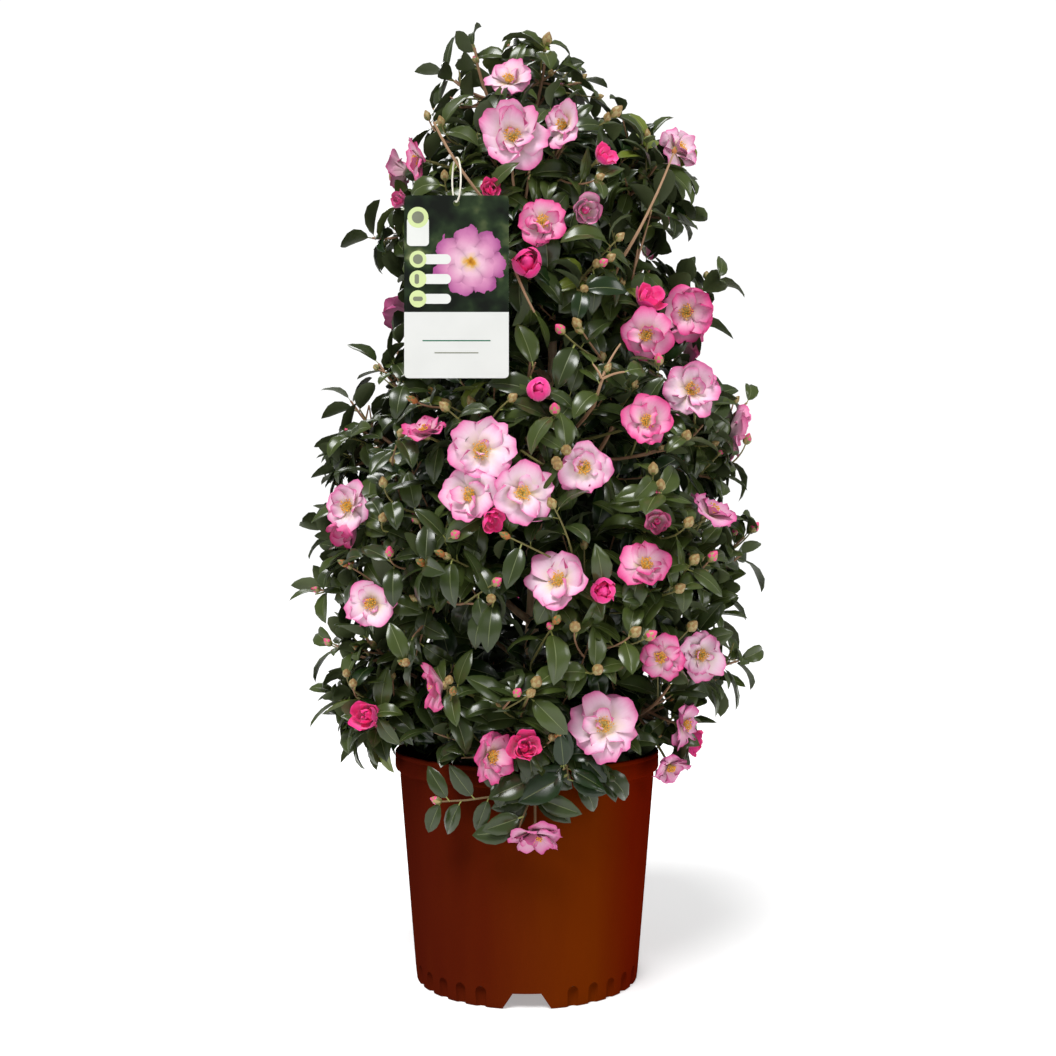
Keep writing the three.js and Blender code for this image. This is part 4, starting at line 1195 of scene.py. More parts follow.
def makeLeaves(allShoots):
    leaves = []
    for index, shoot in enumerate(allShoots):
        leaves += leavesOnShoot(shoot, numberStream(leaf["seed"] + index))
    grown = len(leaves)
    leaves = clearLeaves(leaves)
    print(f"leaves grown: {grown}, kept: {len(leaves)}")
    shape = makeLeafShape()
    materials = []
    for name, colour, roughness in leafSlots:
        materials += [
            plainMaterial(name, colour, roughness, leaf["specular"], leaf["coat"]),
            plainMaterial(name + "Rib", mixPaint(0.3, colour, leaf["rib"]), 0.42),
            plainMaterial(name + "Under", mixPaint(0.5, colour, leaf["underside"]), 0.6),
            plainMaterial(name + "Petiole", leaf["stalk"], 0.55),
        ]
    for group in [*(tier["name"] for tier in crown["tiers"]), "top"]:
        chosen = [one for one in leaves if masses[one["mass"]]["group"] == group]
        piece = joinCopies(
            f"leaves_{group}", shape, placeLeaves(shape, chosen), [4 * one["tone"] for one in chosen],
            materials)
        standFor(piece, [f"foliage_{mass['name']}" for mass in masses if mass["group"] == group])


# Twigs as joined thin tubes

def makeTubeShape():
    bm = bmesh.new()
    sides = shoots["sides"]
    sheet = bmesh.ops.create_grid(bm, x_segments=shoots["rings"] - 1, y_segments=sides, size=1)["verts"]
    for vertex in sheet:
        turn = (vertex.co.y + 1) * math.pi
        vertex.co = ((vertex.co.x + 1) / 2, math.cos(turn), math.sin(turn))
    bmesh.ops.remove_doubles(bm, verts=sheet, dist=1e-4)
    closeEnds(bm, sides)
    faceOut(bm)
    return readShape(bm)


def placeTubes(shape, allShoots):
    share, y, z = shape["points"].T[:, None, :, None]
    start, bend, end, radii = (
        np.array([shoot[key] for shoot in allShoots])[:, None] for key in ("start", "bend", "end", "radii"))
    centre = (1 - share) ** 2 * start + 2 * share * (1 - share) * bend + share ** 2 * end
    tangent = unit((1 - share) * (bend - start) + share * (end - bend))
    side = unit(np.cross(tangent, np.array([0.21, 0.34, 0.92])))
    radius = radii[..., :1] * (1 - share) + radii[..., 1:] * share
    return centre + radius * (y * side + z * np.cross(tangent, side))


def makeTwigs(allShoots):
    shape = makeTubeShape()
    tones = [
        2 if shoot["pale"] else 3 if shoot["hangs"] else
        1 if shoot["level"] in ("side", "stalk") and i % 3 else 0 for i, shoot in enumerate(allShoots)]
    standFor(joinCopies("twigs", shape, placeTubes(shape, allShoots), tones, twigTones))


# Blossoms

petal = {
    "seed": 70000, "alongCells": 6, "acrossCells": 8, "thickness": 0.5, "ruffle": 0.085, "dish": 0.22,
    "open": [
        {"count": [6, 7], "length": 0.53, "width": 0.59, "rise": [0.6, 0.0], "wrap": 0.1, "loose": 0.5},
        {"count": [2, 5], "length": 0.42, "width": 0.4, "rise": [0.95, 0.2], "wrap": 0.2, "loose": 0.9},
        {"count": [0, 2], "length": 0.24, "width": 0.2, "rise": [1.35, 0.7], "wrap": 0.3, "loose": 0.9},
    ],
    "cup": [
        {"count": [5, 5], "length": 0.8, "width": 0.74, "rise": [0.45, 1.5], "wrap": 0.9, "loose": 0.3},
        {"count": [4, 4], "length": 0.72, "width": 0.6, "rise": [0.6, 1.9], "wrap": 0.9, "loose": 0.3},
        {"count": [3, 4], "length": 0.6, "width": 0.5, "rise": [0.9, 2.5], "wrap": 0.9, "loose": 0.3},
    ],
    "ball": [
        {"count": [4, 4], "length": 1.16, "width": 1.0, "rise": [0.15, 2.5], "wrap": 1.0, "loose": 0.15},
        {"count": [3, 3], "length": 1.0, "width": 0.84, "rise": [0.3, 2.55], "wrap": 1.0, "loose": 0.15},
        {"count": [3, 3], "length": 0.82, "width": 0.66, "rise": [0.6, 2.7], "wrap": 1.0, "loose": 0.15},
        {"count": [3, 3], "length": 0.62, "width": 0.5, "rise": [0.9, 2.9], "wrap": 1.0, "loose": 0.2},
    ],
}
# Each petal's two sides: stops from its base to its rim
petalTones = {
    "pale": [
        [(0, 222, 202, 156), (0.1, 230, 208, 206), (0.3, 230, 198, 214),
         (0.54, 225, 170, 198), (0.78, 219, 134, 177), (1, 207, 90, 148)],
        [(0, 216, 176, 186), (0.5, 216, 142, 176), (1, 204, 80, 140)],
    ],
    "mid": [
        [(0, 218, 196, 156), (0.12, 222, 182, 196), (0.34, 220, 146, 180),
         (0.6, 216, 104, 156), (0.82, 208, 72, 134), (1, 196, 44, 114)],
        [(0, 212, 152, 172), (0.5, 212, 104, 152), (1, 198, 56, 122)],
    ],
    "deep": [
        [(0, 238, 180, 204), (0.3, 242, 96, 164), (0.7, 244, 52, 142), (1, 240, 84, 158)],
        [(0, 238, 160, 190), (0.4, 242, 74, 152), (0.8, 240, 40, 134), (1, 240, 90, 160)],
    ],
    "dusky": [
        [(0, 212, 186, 160), (0.15, 212, 168, 186), (0.5, 210, 138, 176), (0.8, 206, 104, 156),
         (1, 192, 66, 132)],
        [(0, 212, 146, 176), (0.5, 212, 116, 164), (1, 200, 76, 140)],
    ],
}


# A petal's colour runs from its base to its rim, with fine streaks along it
def petalMaterial(name, rows):
    stops = paintStops(rows)
    material = plainMaterial(name, stops[-1][1], 0.55, specular=0.3, sheen=0.1)
    place = addNode(material, "ShaderNodeUVMap", uv_map="petalMap").outputs["UV"]
    parts = addNode(material, "ShaderNodeSeparateXYZ", Vector=place)
    streaks = noiseAt(material, stretched(material, place, (2.6, 110.0, 1.0)), 1.0, 3.0)
    shift = calculate(material, "MULTIPLY_ADD", streaks, 0.22, parts.outputs["X"])
    centred = calculate(material, "SUBTRACT", shift, 0.11)
    feed(shaderOf(material)["Base Color"], colourRamp(material, stops, centred))
    addRelief(material, streaks, 0.35, 0.3)
    return material


# A flat petal: x runs across from -1 to 1, y from base to tip, z tells its two sides apart.
# It is mirrored when it is placed, so its faces look inwards here
def makePetalShape():
    bm = bmesh.new()
    for side in (1, -1):
        made = bmesh.ops.create_grid(
            bm, x_segments=petal["acrossCells"], y_segments=petal["alongCells"], size=1)["verts"]
        if side == 1:
            bmesh.ops.reverse_faces(bm, faces=facesOf(made))
        for face in facesOf(made):
            face.material_index = 0 if side == 1 else 1
        for vertex in made:
            x, y, _ = vertex.co
            edge = abs(x) > 0.999 or abs(y) > 0.999
            vertex.co = (math.copysign(abs(x) ** 0.85, x), ((y + 1) / 2) ** 0.85, 0 if edge else side)
    bmesh.ops.remove_doubles(bm, verts=bm.verts[:], dist=1e-5)
    return readShape(bm)


# Bends copies of the petal up from its root, lays them partly round the axis and ruffles them
def placePetals(shape, petals):
    s, t, layer = shape["points"].T[:, None, :]
    field = fieldsOf(petals)
    length, width, size, lobes, wave, phase, notch, lean, ruffle, crease, twist, wrap = (
        field[key][:, None] for key in (
            "length", "width", "size", "lobes", "wave", "phase", "notch", "lean", "ruffle", "crease",
            "twist", "wrap"))
    first, last = field["rise"][:, :1], field["rise"][:, 1:]
    half = width / 2 * (0.17 + 0.83 * np.sin(t * 2.15) ** 0.85) * s
    scallop = 0.022 * np.sin(lobes * 1.3 * s + wave) + 0.02 * np.sin(6 * s + phase)
    dent = notch * np.exp(-((s - lean) / 0.3) ** 2)
    along = length * (t - t ** 4 * (0.07 * s ** 2 + 0.36 * s ** 4 + dent + scallop * t ** 2))
    slope = np.where(np.abs(last - first) < 1e-3, 1e-3, last - first)
    angle = first + slope * along / length
    out = length * (np.sin(angle) - np.sin(first)) / slope
    lift = -length * (np.cos(angle) - np.cos(first)) / slope
    ripple = (0.3 + np.abs(s)) * np.sin(lobes * s + 2.4 * t + phase)
    ripple = ripple + 0.45 * np.abs(s) ** 3 * np.sin(7 * t + 3 * s + wave)
    off = ruffle * width * t ** 1.6 * ripple
    off = off + petal["dish"] * np.abs(half) * np.abs(s) * (1 - 0.55 * t)
    off = off + crease * width * (np.abs(s) - 0.5) * t * (1 - 0.4 * t)
    off = off + layer * petal["thickness"] / 2
    half, off = turned(half, off, twist * t)
    out = out - off * np.sin(angle)
    lift = lift + off * np.cos(angle)
    bowed = np.clip(half / np.maximum(out, 0.3 * size), -1.5, 1.5)
    across = (1 - wrap) * half + wrap * out * np.sin(bowed)
    out = (1 - wrap) * out + wrap * out * np.cos(bowed)
    axis, way = unit(field["axis"]), unit(field["way"])
    return laidOut(field["root"], [(way, out), (np.cross(axis, way), across), (axis, lift)])


def crossAxes(axis):
    across = unit(np.cross(axis, upward) if abs(axis[2]) < 0.95 else np.array([1.0, 0, 0]))
    return across, np.cross(axis, across)


def petalsOf(blossom, next01):
    axis, size = blossom["facing"], blossom["width"]
    across, other = crossAxes(axis)
    start, shut = 6.28 * next01(), 6.28 * next01()
    openness = 0.35 * (next01() - 0.35)
    found = []
    for level, whorl in enumerate(petal[blossom["form"]]):
        loose = whorl["loose"]
        fewest, most = whorl["count"]
        count = fewest + int((most - fewest + 0.999) * next01())
        for k in range(count):
            turn = start + 0.55 * level + 2 * math.pi * k / count + swing(next01, loose)
            way = around(turn, across, other)
            lean = swing(next01, loose) + openness + 0.6 * loose * math.cos(turn - shut)
            found.append({
                "root": blossom["foot"] + way * 0.03 * size + axis * 0.012 * size * level,
                "axis": axis, "way": way, "size": size,
                "length": size * whorl["length"] * (1 + swing(next01, 0.5 * loose)),
                "width": size * whorl["width"] * (1 + swing(next01, 0.5 * loose)),
                "rise": [whorl["rise"][0] + 0.4 * lean, whorl["rise"][1] + lean],
                "wrap": whorl["wrap"], "ruffle": petal["ruffle"] * (0.4 + 1.2 * loose) * (0.5 + next01()),
                "crease": 0.5 * loose * (next01() - 0.55), "twist": swing(next01, 1.3 * loose),
                "phase": 6.28 * next01(), "wave": 6.28 * next01(), "lobes": 3 + 3.5 * next01(),
                "notch": 0.02 + 0.06 * next01(), "lean": swing(next01, 0.5),
                "blush": next01(), "streak": next01()})
    return found


def makePetals():
    shape = makePetalShape()
    s, t, _ = shape["points"].T
    edge = 1 - (1 - t ** 1.4) * (1 - np.abs(s) ** 4 * (0.2 + 0.6 * t))
    rim = (0.8 * edge ** 1.5 + 0.2 * edge ** 7)[shape["corners"]]
    cross = (0.5 + 0.5 * s)[shape["corners"]]
    back = np.repeat(shape["slots"], shape["sizes"])
    for tone, rows in petalTones.items():
        petals = []
        for index, blossom in enumerate(blossoms):
            if blossom["tone"] == tone:
                petals += petalsOf(blossom, numberStream(petal["seed"] + index))
        name = f"petal{tone.capitalize()}"
        materials = [petalMaterial(name, rows[0]), petalMaterial(name + "Back", rows[1])]
        blush = np.array([0.22 * (one["blush"] - 0.45) for one in petals])[:, None]
        streak = np.array([0.34 * one["streak"] for one in petals])[:, None]
        uv = np.stack([
            np.clip(rim + blush * (0.3 + rim), 0.01, 0.99), 0.01 + streak + 0.13 * cross + 0.5 * back], 2)
        piece = joinCopies(
            f"petals_{tone}", shape, placePetals(shape, petals), 0, materials, 75,
            [("petalMap", uv), ("OFBake", uv)])
        standFor(piece)


stamen = {
    "seed": 80000, "count": 42, "length": 0.21, "spread": 0.85, "radius": 0.24,
    "antherRadius": 0.72, "mark": 100,
    "filament": paint(238, 220, 138), "anther": paint(228, 164, 48),
}


# One stamen: a thread one unit tall on the origin, and its anther, which waits higher up at the mark
def makeStamenShape():
    bm = bmesh.new()
    stalk = bmesh.ops.create_cone(bm, segments=3, radius1=1, radius2=0.8, depth=1)["verts"]
    for vertex in stalk:
        vertex.co.z += 0.5
    made = bmesh.ops.create_icosphere(bm, subdivisions=1, radius=1)["verts"]
    for face in facesOf(made):
        face.material_index = 1
    for vertex in made:
        vertex.co.z = vertex.co.z * 1.4 + stamen["mark"]
    return readShape(bm)


def makeStamens(openBlossoms):
    shape = makeStamenShape()
    x, y, z = shape["points"].T[:, :, None]
    isAnther = z > stamen["mark"] / 2
    radius = np.where(isAnther, stamen["antherRadius"], stamen["radius"])
    placed = []
    for index, blossom in enumerate(openBlossoms):
        next01 = numberStream(stamen["seed"] + index)
        axis, size = blossom["facing"], blossom["width"]
        across, other = crossAxes(axis)
        for k in range(stamen["count"]):
            tip = stamen["spread"] * math.sqrt((k + 0.5) / stamen["count"]) + 0.1 * next01()
            way = unit(axis + tip * around(math.radians(goldenAngle * k), across, other))
            length = size * stamen["length"] * (0.65 + 0.45 * next01())
            side = unit(np.cross(way, across + 0.01))
            height = np.where(isAnther, length + (z - stamen["mark"]) * radius, z * length)
            placed.append(
                blossom["foot"] + axis * 0.03 * size + side * (x * radius)
                + np.cross(way, side) * (y * radius) + way * height)
    materials = [
        plainMaterial("stamenThread", stamen["filament"], 0.5),
        plainMaterial("stamenPollen", stamen["anther"], 0.75)]
    standFor(joinCopies("stamens", shape, placed, 0, materials))


# Buds beside the leaves, and the green cup behind each blossom

bud = {
    "seed": 90000, "seenSeed": 95000, "count": 190, "length": [9, 13], "seenLength": [11, 15],
    "pinkShare": 0.2, "fadedShare": 0.12,
    "cupSize": 0.17, "coreSize": {"ball": 0.8, "cup": 0.4},
    "plump": {"green": 1.12, "pink": 1.12, "faded": 0.8},
    "seenPlump": {"green": 1.2, "pink": 1.2, "faded": 0.9},
}
budPaints = {
    "budGreen": (paint(102, 104, 50), 0.5), "budCream": (paint(156, 140, 90), 0.5),
    "budTip": (paint(138, 108, 62), 0.55), "budPink": (paint(214, 70, 122), 0.5),
    "blossomHeart": (paint(232, 60, 140), 0.55), "budFaded": (paint(164, 100, 48), 0.7),
}
# Each kind's three bands, from the foot to the tip
budBands = {
    "green": ["budGreen", "budCream", "budTip"], "pink": ["budGreen", "budCream", "budPink"],
    "heart": ["blossomHeart"] * 3, "faded": ["budFaded", "budFaded", "budGreen"],
}


# An egg standing on the origin, one unit long, in three bands of colour
def makeBudShape():
    bm = bmesh.new()
    bmesh.ops.create_uvsphere(bm, u_segments=8, v_segments=7, radius=0.5)
    for vertex in bm.verts:
        x, y, z = vertex.co
        t = z + 0.5
        pinch = 0.64 * (1 - 0.6 * max(t - 0.5, 0) / 0.5)
        vertex.co = (x * pinch, y * pinch, t)
    for face in bm.faces:
        x, y, height = face.calc_center_median()
        odd = (int(math.atan2(y, x) / math.radians(45) + 8) + int(height * 7)) % 2
        face.material_index = min(int(height * 2.6 + 0.75 * odd), 2)
    return readShape(bm)


def makeBuds(allShoots, budTwigs):
    shape = makeBudShape()
    points = shape["points"]
    placed, first = [], []
    leafy = [shoot for shoot in allShoots if shoot["level"] in ("main", "side")]

    def addBud(foot, way, length, width, kind):
        side = unit(np.cross(way, np.array([0.31, 0.2, 0.93])))
        other = np.cross(way, side)
        placed.append(foot + side * points[:, :1] * width + other * points[:, 1:2] * width
                      + way * points[:, 2:] * length)
        first.append(3 * list(budBands).index(kind))

    for k in range(bud["count"]):
        next01 = numberStream(bud["seed"] + k)
        atEnd = k % 2
        point, tangent = onShoot(leafy[(k * 37) % len(leafy)], 1.0 if atEnd else 0.86)
        side = unit(np.cross(tangent, upward) + 1e-6)
        way = unit(tangent + (0.0 if atEnd else 0.9) * side + 0.3 * upward)
        length = between(next01, bud["length"])
        draw = next01()
        kind = "pink" if draw < bud["pinkShare"] else "faded" if draw > 1 - bud["fadedShare"] else "green"
        addBud(point - way, way, length, length * bud["plump"][kind], kind)
    for k, shoot in enumerate(budTwigs):
        point, tangent = onShoot(shoot, 1.0)
        length = between(numberStream(bud["seenSeed"] + k), bud["seenLength"])
        kind = ["green", "pink", "faded"][shoot["kind"]]
        addBud(point - tangent, tangent, length, length * bud["seenPlump"][kind], kind)
    for blossom in blossoms:
        foot, facing, size = blossom["foot"], blossom["facing"], blossom["width"] * bud["cupSize"]
        if blossom["form"] != "open":
            size *= 1.3
        addBud(foot - facing * size * 0.62, facing, size, size * 1.5, "green")
        if blossom["form"] != "open":
            core = blossom["width"] * bud["coreSize"][blossom["form"]]
            addBud(foot + facing * core * 0.2, facing, core, core, "heart")
    paints = {name: plainMaterial(name, *look) for name, look in budPaints.items()}
    materials = [paints[name] for bands in budBands.values() for name in bands]
    standFor(joinCopies("buds", shape, placed, first, materials))


# Pot

pot = {
    "height": 240, "rimRadius": 140, "baseRadius": 117.5, "wall": 2.8, "steps": 192,
    "lipHeight": 21, "lipProud": 4.7, "footWall": 9, "floorHeight": 19, "edge": 1.5,
    "flutePlaces": 32, "fluteRadius": 6, "fluteHeight": 21, "fluteDepth": 4.2,
    "notchCount": 4, "notchHeight": 16, "notchLow": 51, "notchHigh": 28,
    "drainRadius": 7, "drainRing": 78, "soilHeight": 206,
    # The lip's own profile, inwards from the rim: above its foot, then below its top
    "lipFoot": [[3.2, 0.9], [0.9, 2.4], [0, 4.7]],
    "lipTop": [
        [0, 6.2], [0.7, 5.0], [0.75, 4.0], [0, 3.0], [0, 1.5], [0.45, 0.45], [1.5, 0], [3.6, 0],
        [4.5, 0.9]],
}
potLook = {
    "colours": [paint(80, 19, 4), paint(86, 24, 4), paint(93, 30, 3)],
    "scale": 9, "roughness": (0.42, 0.52), "specular": 0.0, "stretch": (2.4, 2.4, 0.5),
    "grainScale": 320, "grainHeight": 0.16,
    # Painted light and shade: its tone runs darker on the left, brightest right of the middle and darker
    # again at the right edge
    "paintedShadingShare": 0.6, "paintedShading": [
        (0.04, 56, 13, 10), (0.34, 72, 22, 7), (0.56, 92, 37, 4), (0.74, 101, 41, 1), (0.88, 93, 12, 1),
        (0.98, 84, 2, 1)],
}


def potMaterial():
    material = mottledMaterial("potPlastic", potLook)
    colour = shaderOf(material)["Base Color"]
    edge = pot["rimRadius"] * mm
    parts = addNode(material, "ShaderNodeSeparateXYZ", Vector=objectPlace(material))
    across = addNode(
        material, "ShaderNodeMapRange", Value=parts.outputs["X"], **{"From Min": -edge, "From Max": edge})
    # Painted light and shade across the pot, by its place from left to right
    paintedShading = colourRamp(material, paintStops(potLook["paintedShading"]), across.outputs["Result"])
    feed(colour, mixColours(material, potLook["paintedShadingShare"], colour.links[0].from_socket, paintedShading))
    return material


def potRadiusAt(height):
    underLip = pot["height"] - pot["lipHeight"]
    top = pot["rimRadius"] - pot["lipProud"]
    return pot["baseRadius"] + (top - pot["baseRadius"]) * height / underLip


def spinProfile(bm, profile, steps):
    verts = [bm.verts.new((radius, 0, height)) for radius, height in profile]
    edges = [bm.edges.new(pair) for pair in zip(verts, verts[1:])]
    spinRound(bm, verts + edges, steps, 0.005)
    faceOut(bm)


def cutWith(piece, cutter, sharpAngle):
    modifier = piece.modifiers.new("cut", "BOOLEAN")
    modifier.operation = "DIFFERENCE"
    modifier.solver = "MANIFOLD"
    modifier.object = cutter
    mesh = bpy.data.meshes.new_from_object(piece.evaluated_get(bpy.context.evaluated_depsgraph_get()))
    piece.modifiers.clear()
    old, piece.data = piece.data, mesh
    bpy.data.meshes.remove(old)
    bpy.data.objects.remove(cutter)
    shadeMesh(mesh, sharpAngle)


def addDrill(bm, radius, depth, **more):
    return bmesh.ops.create_cone(
        bm, cap_ends=True, segments=32, radius1=radius, radius2=radius, depth=depth, **more)["verts"]


def moveBy(bm, verts, step):
    bmesh.ops.translate(bm, verts=verts, vec=step)


def potProfile():
    top, edge, wall, floor = pot["height"], pot["edge"], pot["wall"], pot["floorHeight"]
    underLip, foot, rim = top - pot["lipHeight"], potRadiusAt(0), pot["rimRadius"]
    return [
        (0, floor - wall), (potRadiusAt(floor) - pot["footWall"] - 2, floor - wall),
        (foot - pot["footWall"], 0), (foot - edge, 0), (foot - 0.5, 0.4), (foot, edge),
        *((potRadiusAt(h), h) for h in np.linspace(8, underLip - 6, 14)),
        (potRadiusAt(underLip - 3) - 0.3, underLip - 3), (potRadiusAt(underLip), underLip),
        *((rim - inwards, underLip + up) for inwards, up in pot["lipFoot"]),
        *((rim - inwards, top - down) for inwards, down in pot["lipTop"]),
        (potRadiusAt(underLip) - wall, underLip - wall),
        *((potRadiusAt(h) - wall, h) for h in np.linspace(underLip - 20, floor, 10)),
        (0, floor)]


# Flutes round the foot, with a notch and a drain hole in place of some
def potCutters():
    bm = bmesh.new()
    count, radius, tall = pot["flutePlaces"], pot["fluteRadius"], pot["fluteHeight"]
    perNotch = count // pot["notchCount"]
    foot = potRadiusAt(0)
    for place in range(count):
        if 2 <= place % perNotch < perNotch - 1:
            azimuth = math.radians(-90 + 360 / count * place)
            made = bmesh.ops.create_uvsphere(bm, u_segments=20, v_segments=12, radius=radius)["verts"]
            moveBy(bm, [vertex for vertex in made if vertex.co.z < -0.01], (0, 0, -tall))
            moveBy(bm, made, ringPoint(foot + radius - pot["fluteDepth"], azimuth, tall - radius))
    for k in range(pot["notchCount"]):
        azimuth = math.radians(360 / pot["notchCount"] * k)
        turn = Matrix.Rotation(azimuth, 3, "Z")
        for vertex in bmesh.ops.create_cube(bm, size=1)["verts"]:
            x, y, z = vertex.co
            span, height = (pot["notchLow"], -2) if z < 0 else (pot["notchHigh"], pot["notchHeight"])
            vertex.co = turn @ Vector((x * span, y * 40 - foot + 8, height))
        drill = addDrill(bm, pot["drainRadius"], 12)
        moveBy(bm, drill, ringPoint(pot["drainRing"], azimuth + math.pi / 4, pot["floorHeight"]))
    return finishPiece("potCutters", bm, [])


def makePot():
    bm = bmesh.new()
    spinProfile(bm, potProfile(), pot["steps"])
    piece = finishPiece("nursery_pot", bm, [potMaterial()], 32)
    cutWith(piece, potCutters(), 32)
    standFor(piece, ["pot"])


# Potting mix: a mound of bark with loose chips on it

soil = {
    "edgeHeight": 206, "heartHeight": 212, "middle": [90, 209], "steps": 120, "rings": 44,
    "lumps": 1.6, "chipSeed": 30000, "chipCount": 700, "chipLength": [6, 17],
    "chipTones": [paint(58, 40, 28), paint(84, 58, 38), paint(112, 84, 58), paint(40, 30, 24)],
}
soilLook = {
    "colours": [paint(30, 21, 15), paint(52, 36, 25), paint(78, 56, 40)],
    "scale": 90, "roughness": (0.85, 0.97), "grainScale": 260, "grainHeight": 1.2,
}
chipLook = {"scale": 160, "roughness": (0.8, 0.95), "grainScale": 700, "grainHeight": 0.4}


def soilRadiusAt(height):
    return potRadiusAt(height) - pot["wall"] - 0.6


def soilTop(radius, turn):
    inner = soilRadiusAt(soil["edgeHeight"])
    middle, middleHeight = soil["middle"]
    level = np.interp(radius, [20, middle, inner], [soil["heartHeight"], middleHeight, soil["edgeHeight"]])
    x, y = radius * math.cos(turn), radius * math.sin(turn)
    lump = (math.sin(x / 4.1 + 1.3 * math.sin(y / 7)) * math.sin(y / 3.7 + 0.8)
            + 0.6 * math.sin(x / 2.3 + y / 2.9) + 0.5 * math.sin(y / 9 - x / 6))
    fade = min(1, max(radius - 14, 0) / 10) * min(1, max(inner - radius, 0) / 5)
    return level - 1.2 + soil["lumps"] * lump * 0.5 * fade


def makeSoil():
    inner, bottom = soilRadiusAt(soil["edgeHeight"]), soilRadiusAt(pot["floorHeight"])
    low = pot["floorHeight"] + 0.3
    profile = [(0, low), (bottom, low), (inner, soil["edgeHeight"] - 2)]
    profile += [(radius, soil["edgeHeight"]) for radius in np.linspace(inner - 0.4, 0, soil["rings"])]
    bm = bmesh.new()
    spinProfile(bm, profile, soil["steps"])
    for vertex in bm.verts:
        x, y, z = vertex.co
        if z > soil["edgeHeight"] - 0.5:
            vertex.co.z = soilTop(math.hypot(x, y), math.atan2(y, x))
    faceOut(bm)
    piece = finishPiece("bark_mix", bm, [mottledMaterial("pottingMix", soilLook)], 60)
    standFor(piece, ["potting_mix"])

    bm = bmesh.new()
    bmesh.ops.create_cube(bm, size=1)
    bmesh.ops.bevel(bm, geom=bm.edges[:], offset=0.12, affect="EDGES", segments=1, profile=0.5, material=-1)
    shape = readShape(bm)
    placed, tones = [], []
    for k in range(soil["chipCount"]):
        next01 = numberStream(soil["chipSeed"] + k)
        radius = 20 + (inner - 28) * math.sqrt(next01())
        turn = 6.283 * next01()
        least, most = soil["chipLength"]
        length = least + (most - least) * next01() ** 2
        size = np.array([length, length * (0.35 + 0.4 * next01()), 1.4 + 1.6 * next01()])
        spin = Matrix.Rotation(6.28 * next01(), 3, "Z") @ Matrix.Rotation(swing(next01, 0.7), 3, "X")
        spin = spin @ Matrix.Rotation(swing(next01, 0.7), 3, "Y")
        centre = ringPoint(radius, turn, soilTop(radius, turn) + 0.6)
        placed.append(centre + (shape["points"] * size) @ np.array(spin).T)
        tones.append(int(next01() * 3.999))
    materials = [
        mottledMaterial(f"barkChip{k}", {**chipLook, "colours": [mixPaint(0.4, tone, (0, 0, 0)), tone]})
        for k, tone in enumerate(soil["chipTones"])]
    standFor(joinCopies("bark_chips", shape, placed, tones, materials, 30))


# Label: a bare card with a picture of a pink blossom above a white foot, on a thin elastic tie

label = {
    "width": 95, "height": 166, "corner": 4, "centre": [-64, -204], "holeRadius": 3, "holeDown": 7,
    "top": 770.0, "footHeight": 60, "flowerAt": [12, 106], "flowerRadius": 33,
    "printRise": [0.14, 0.07, 0.07, 0.21],
    # Each print: middle across and above, width, height, corner, ink
    "prints": [
        [-35, 133, 20, 26, 3.5, 1], [-35, 146, 19, 19, 9.4, 0], [-35, 146, 11, 11, 5.4, 3],
        [-18, 108, 26, 9, 4.4, 1], [-35, 108, 15.5, 15.5, 7.7, 0], [-35, 108, 9, 9, 4.4, 3],
        [-18, 90, 26, 9, 4.4, 1], [-35, 90, 15.5, 15.5, 7.7, 0], [-36, 90, 4, 9, 1.9, 3],
        [-18, 72, 26, 9, 4.4, 1], [-35, 72, 15.5, 15.5, 7.7, 0], [-35, 72, 9, 4, 1.9, 3],
        [0, 34, 62, 1.1, 0.5, 2], [0, 23, 40, 0.8, 0.35, 3],
    ],
}
cardStock = {
    "colours": [paint(203, 204, 201), paint(207, 208, 205)], "scale": 30, "roughness": (0.36, 0.44),
    "grainScale": 900, "grainHeight": 0.02,
}
inkLook = {"scale": 60, "roughness": (0.4, 0.5), "specular": 0.2, "grainScale": 900, "grainHeight": 0.01}
inkTones = {
    "inkLime": [paint(190, 204, 146), paint(196, 210, 152)],
    "inkWhite": [paint(206, 208, 204), paint(211, 213, 209)],
    "inkGreen": [paint(20, 92, 64), paint(24, 98, 70)],
    "inkGrey": [paint(112, 116, 98), paint(120, 124, 106)],
}
tie = {
    "at": [-64, -204, 800], "hang": 4.7, "halfWidth": 6.5, "halfHeight": 20, "radius": 0.8,
    "turn": 40, "twig": [[-12, -100, 770], [-38, -176, 772], [-64, -204, 800], [-84, -212, 834]],
    "twigRadii": [1.9, 1.5], "endRadii": [1.5, 1.1],
    "look": {
        "colours": [paint(214, 208, 192), paint(230, 226, 212)], "scale": 300, "roughness": (0.55, 0.7),
        "grainScale": 1600, "grainHeight": 0.12},
}
pictureLook = {
    "leaves": [
        (0.36, 10, 15, 9), (0.48, 22, 33, 19), (0.57, 38, 52, 30), (0.65, 70, 80, 50),
        (0.73, 138, 142, 104)],
    "petals": [
        (0.0, 150, 92, 20), (0.09, 198, 142, 46), (0.16, 208, 176, 150), (0.3, 212, 172, 190),
        (0.6, 198, 136, 170), (0.85, 176, 104, 150), (1.0, 152, 74, 130)],
    # Each ring of petals: how many, their turn, and how far out they reach
    "rings": [[7, 0.4, 1.0], [6, 1.1, 0.72], [4, 0.2, 0.42]],
}


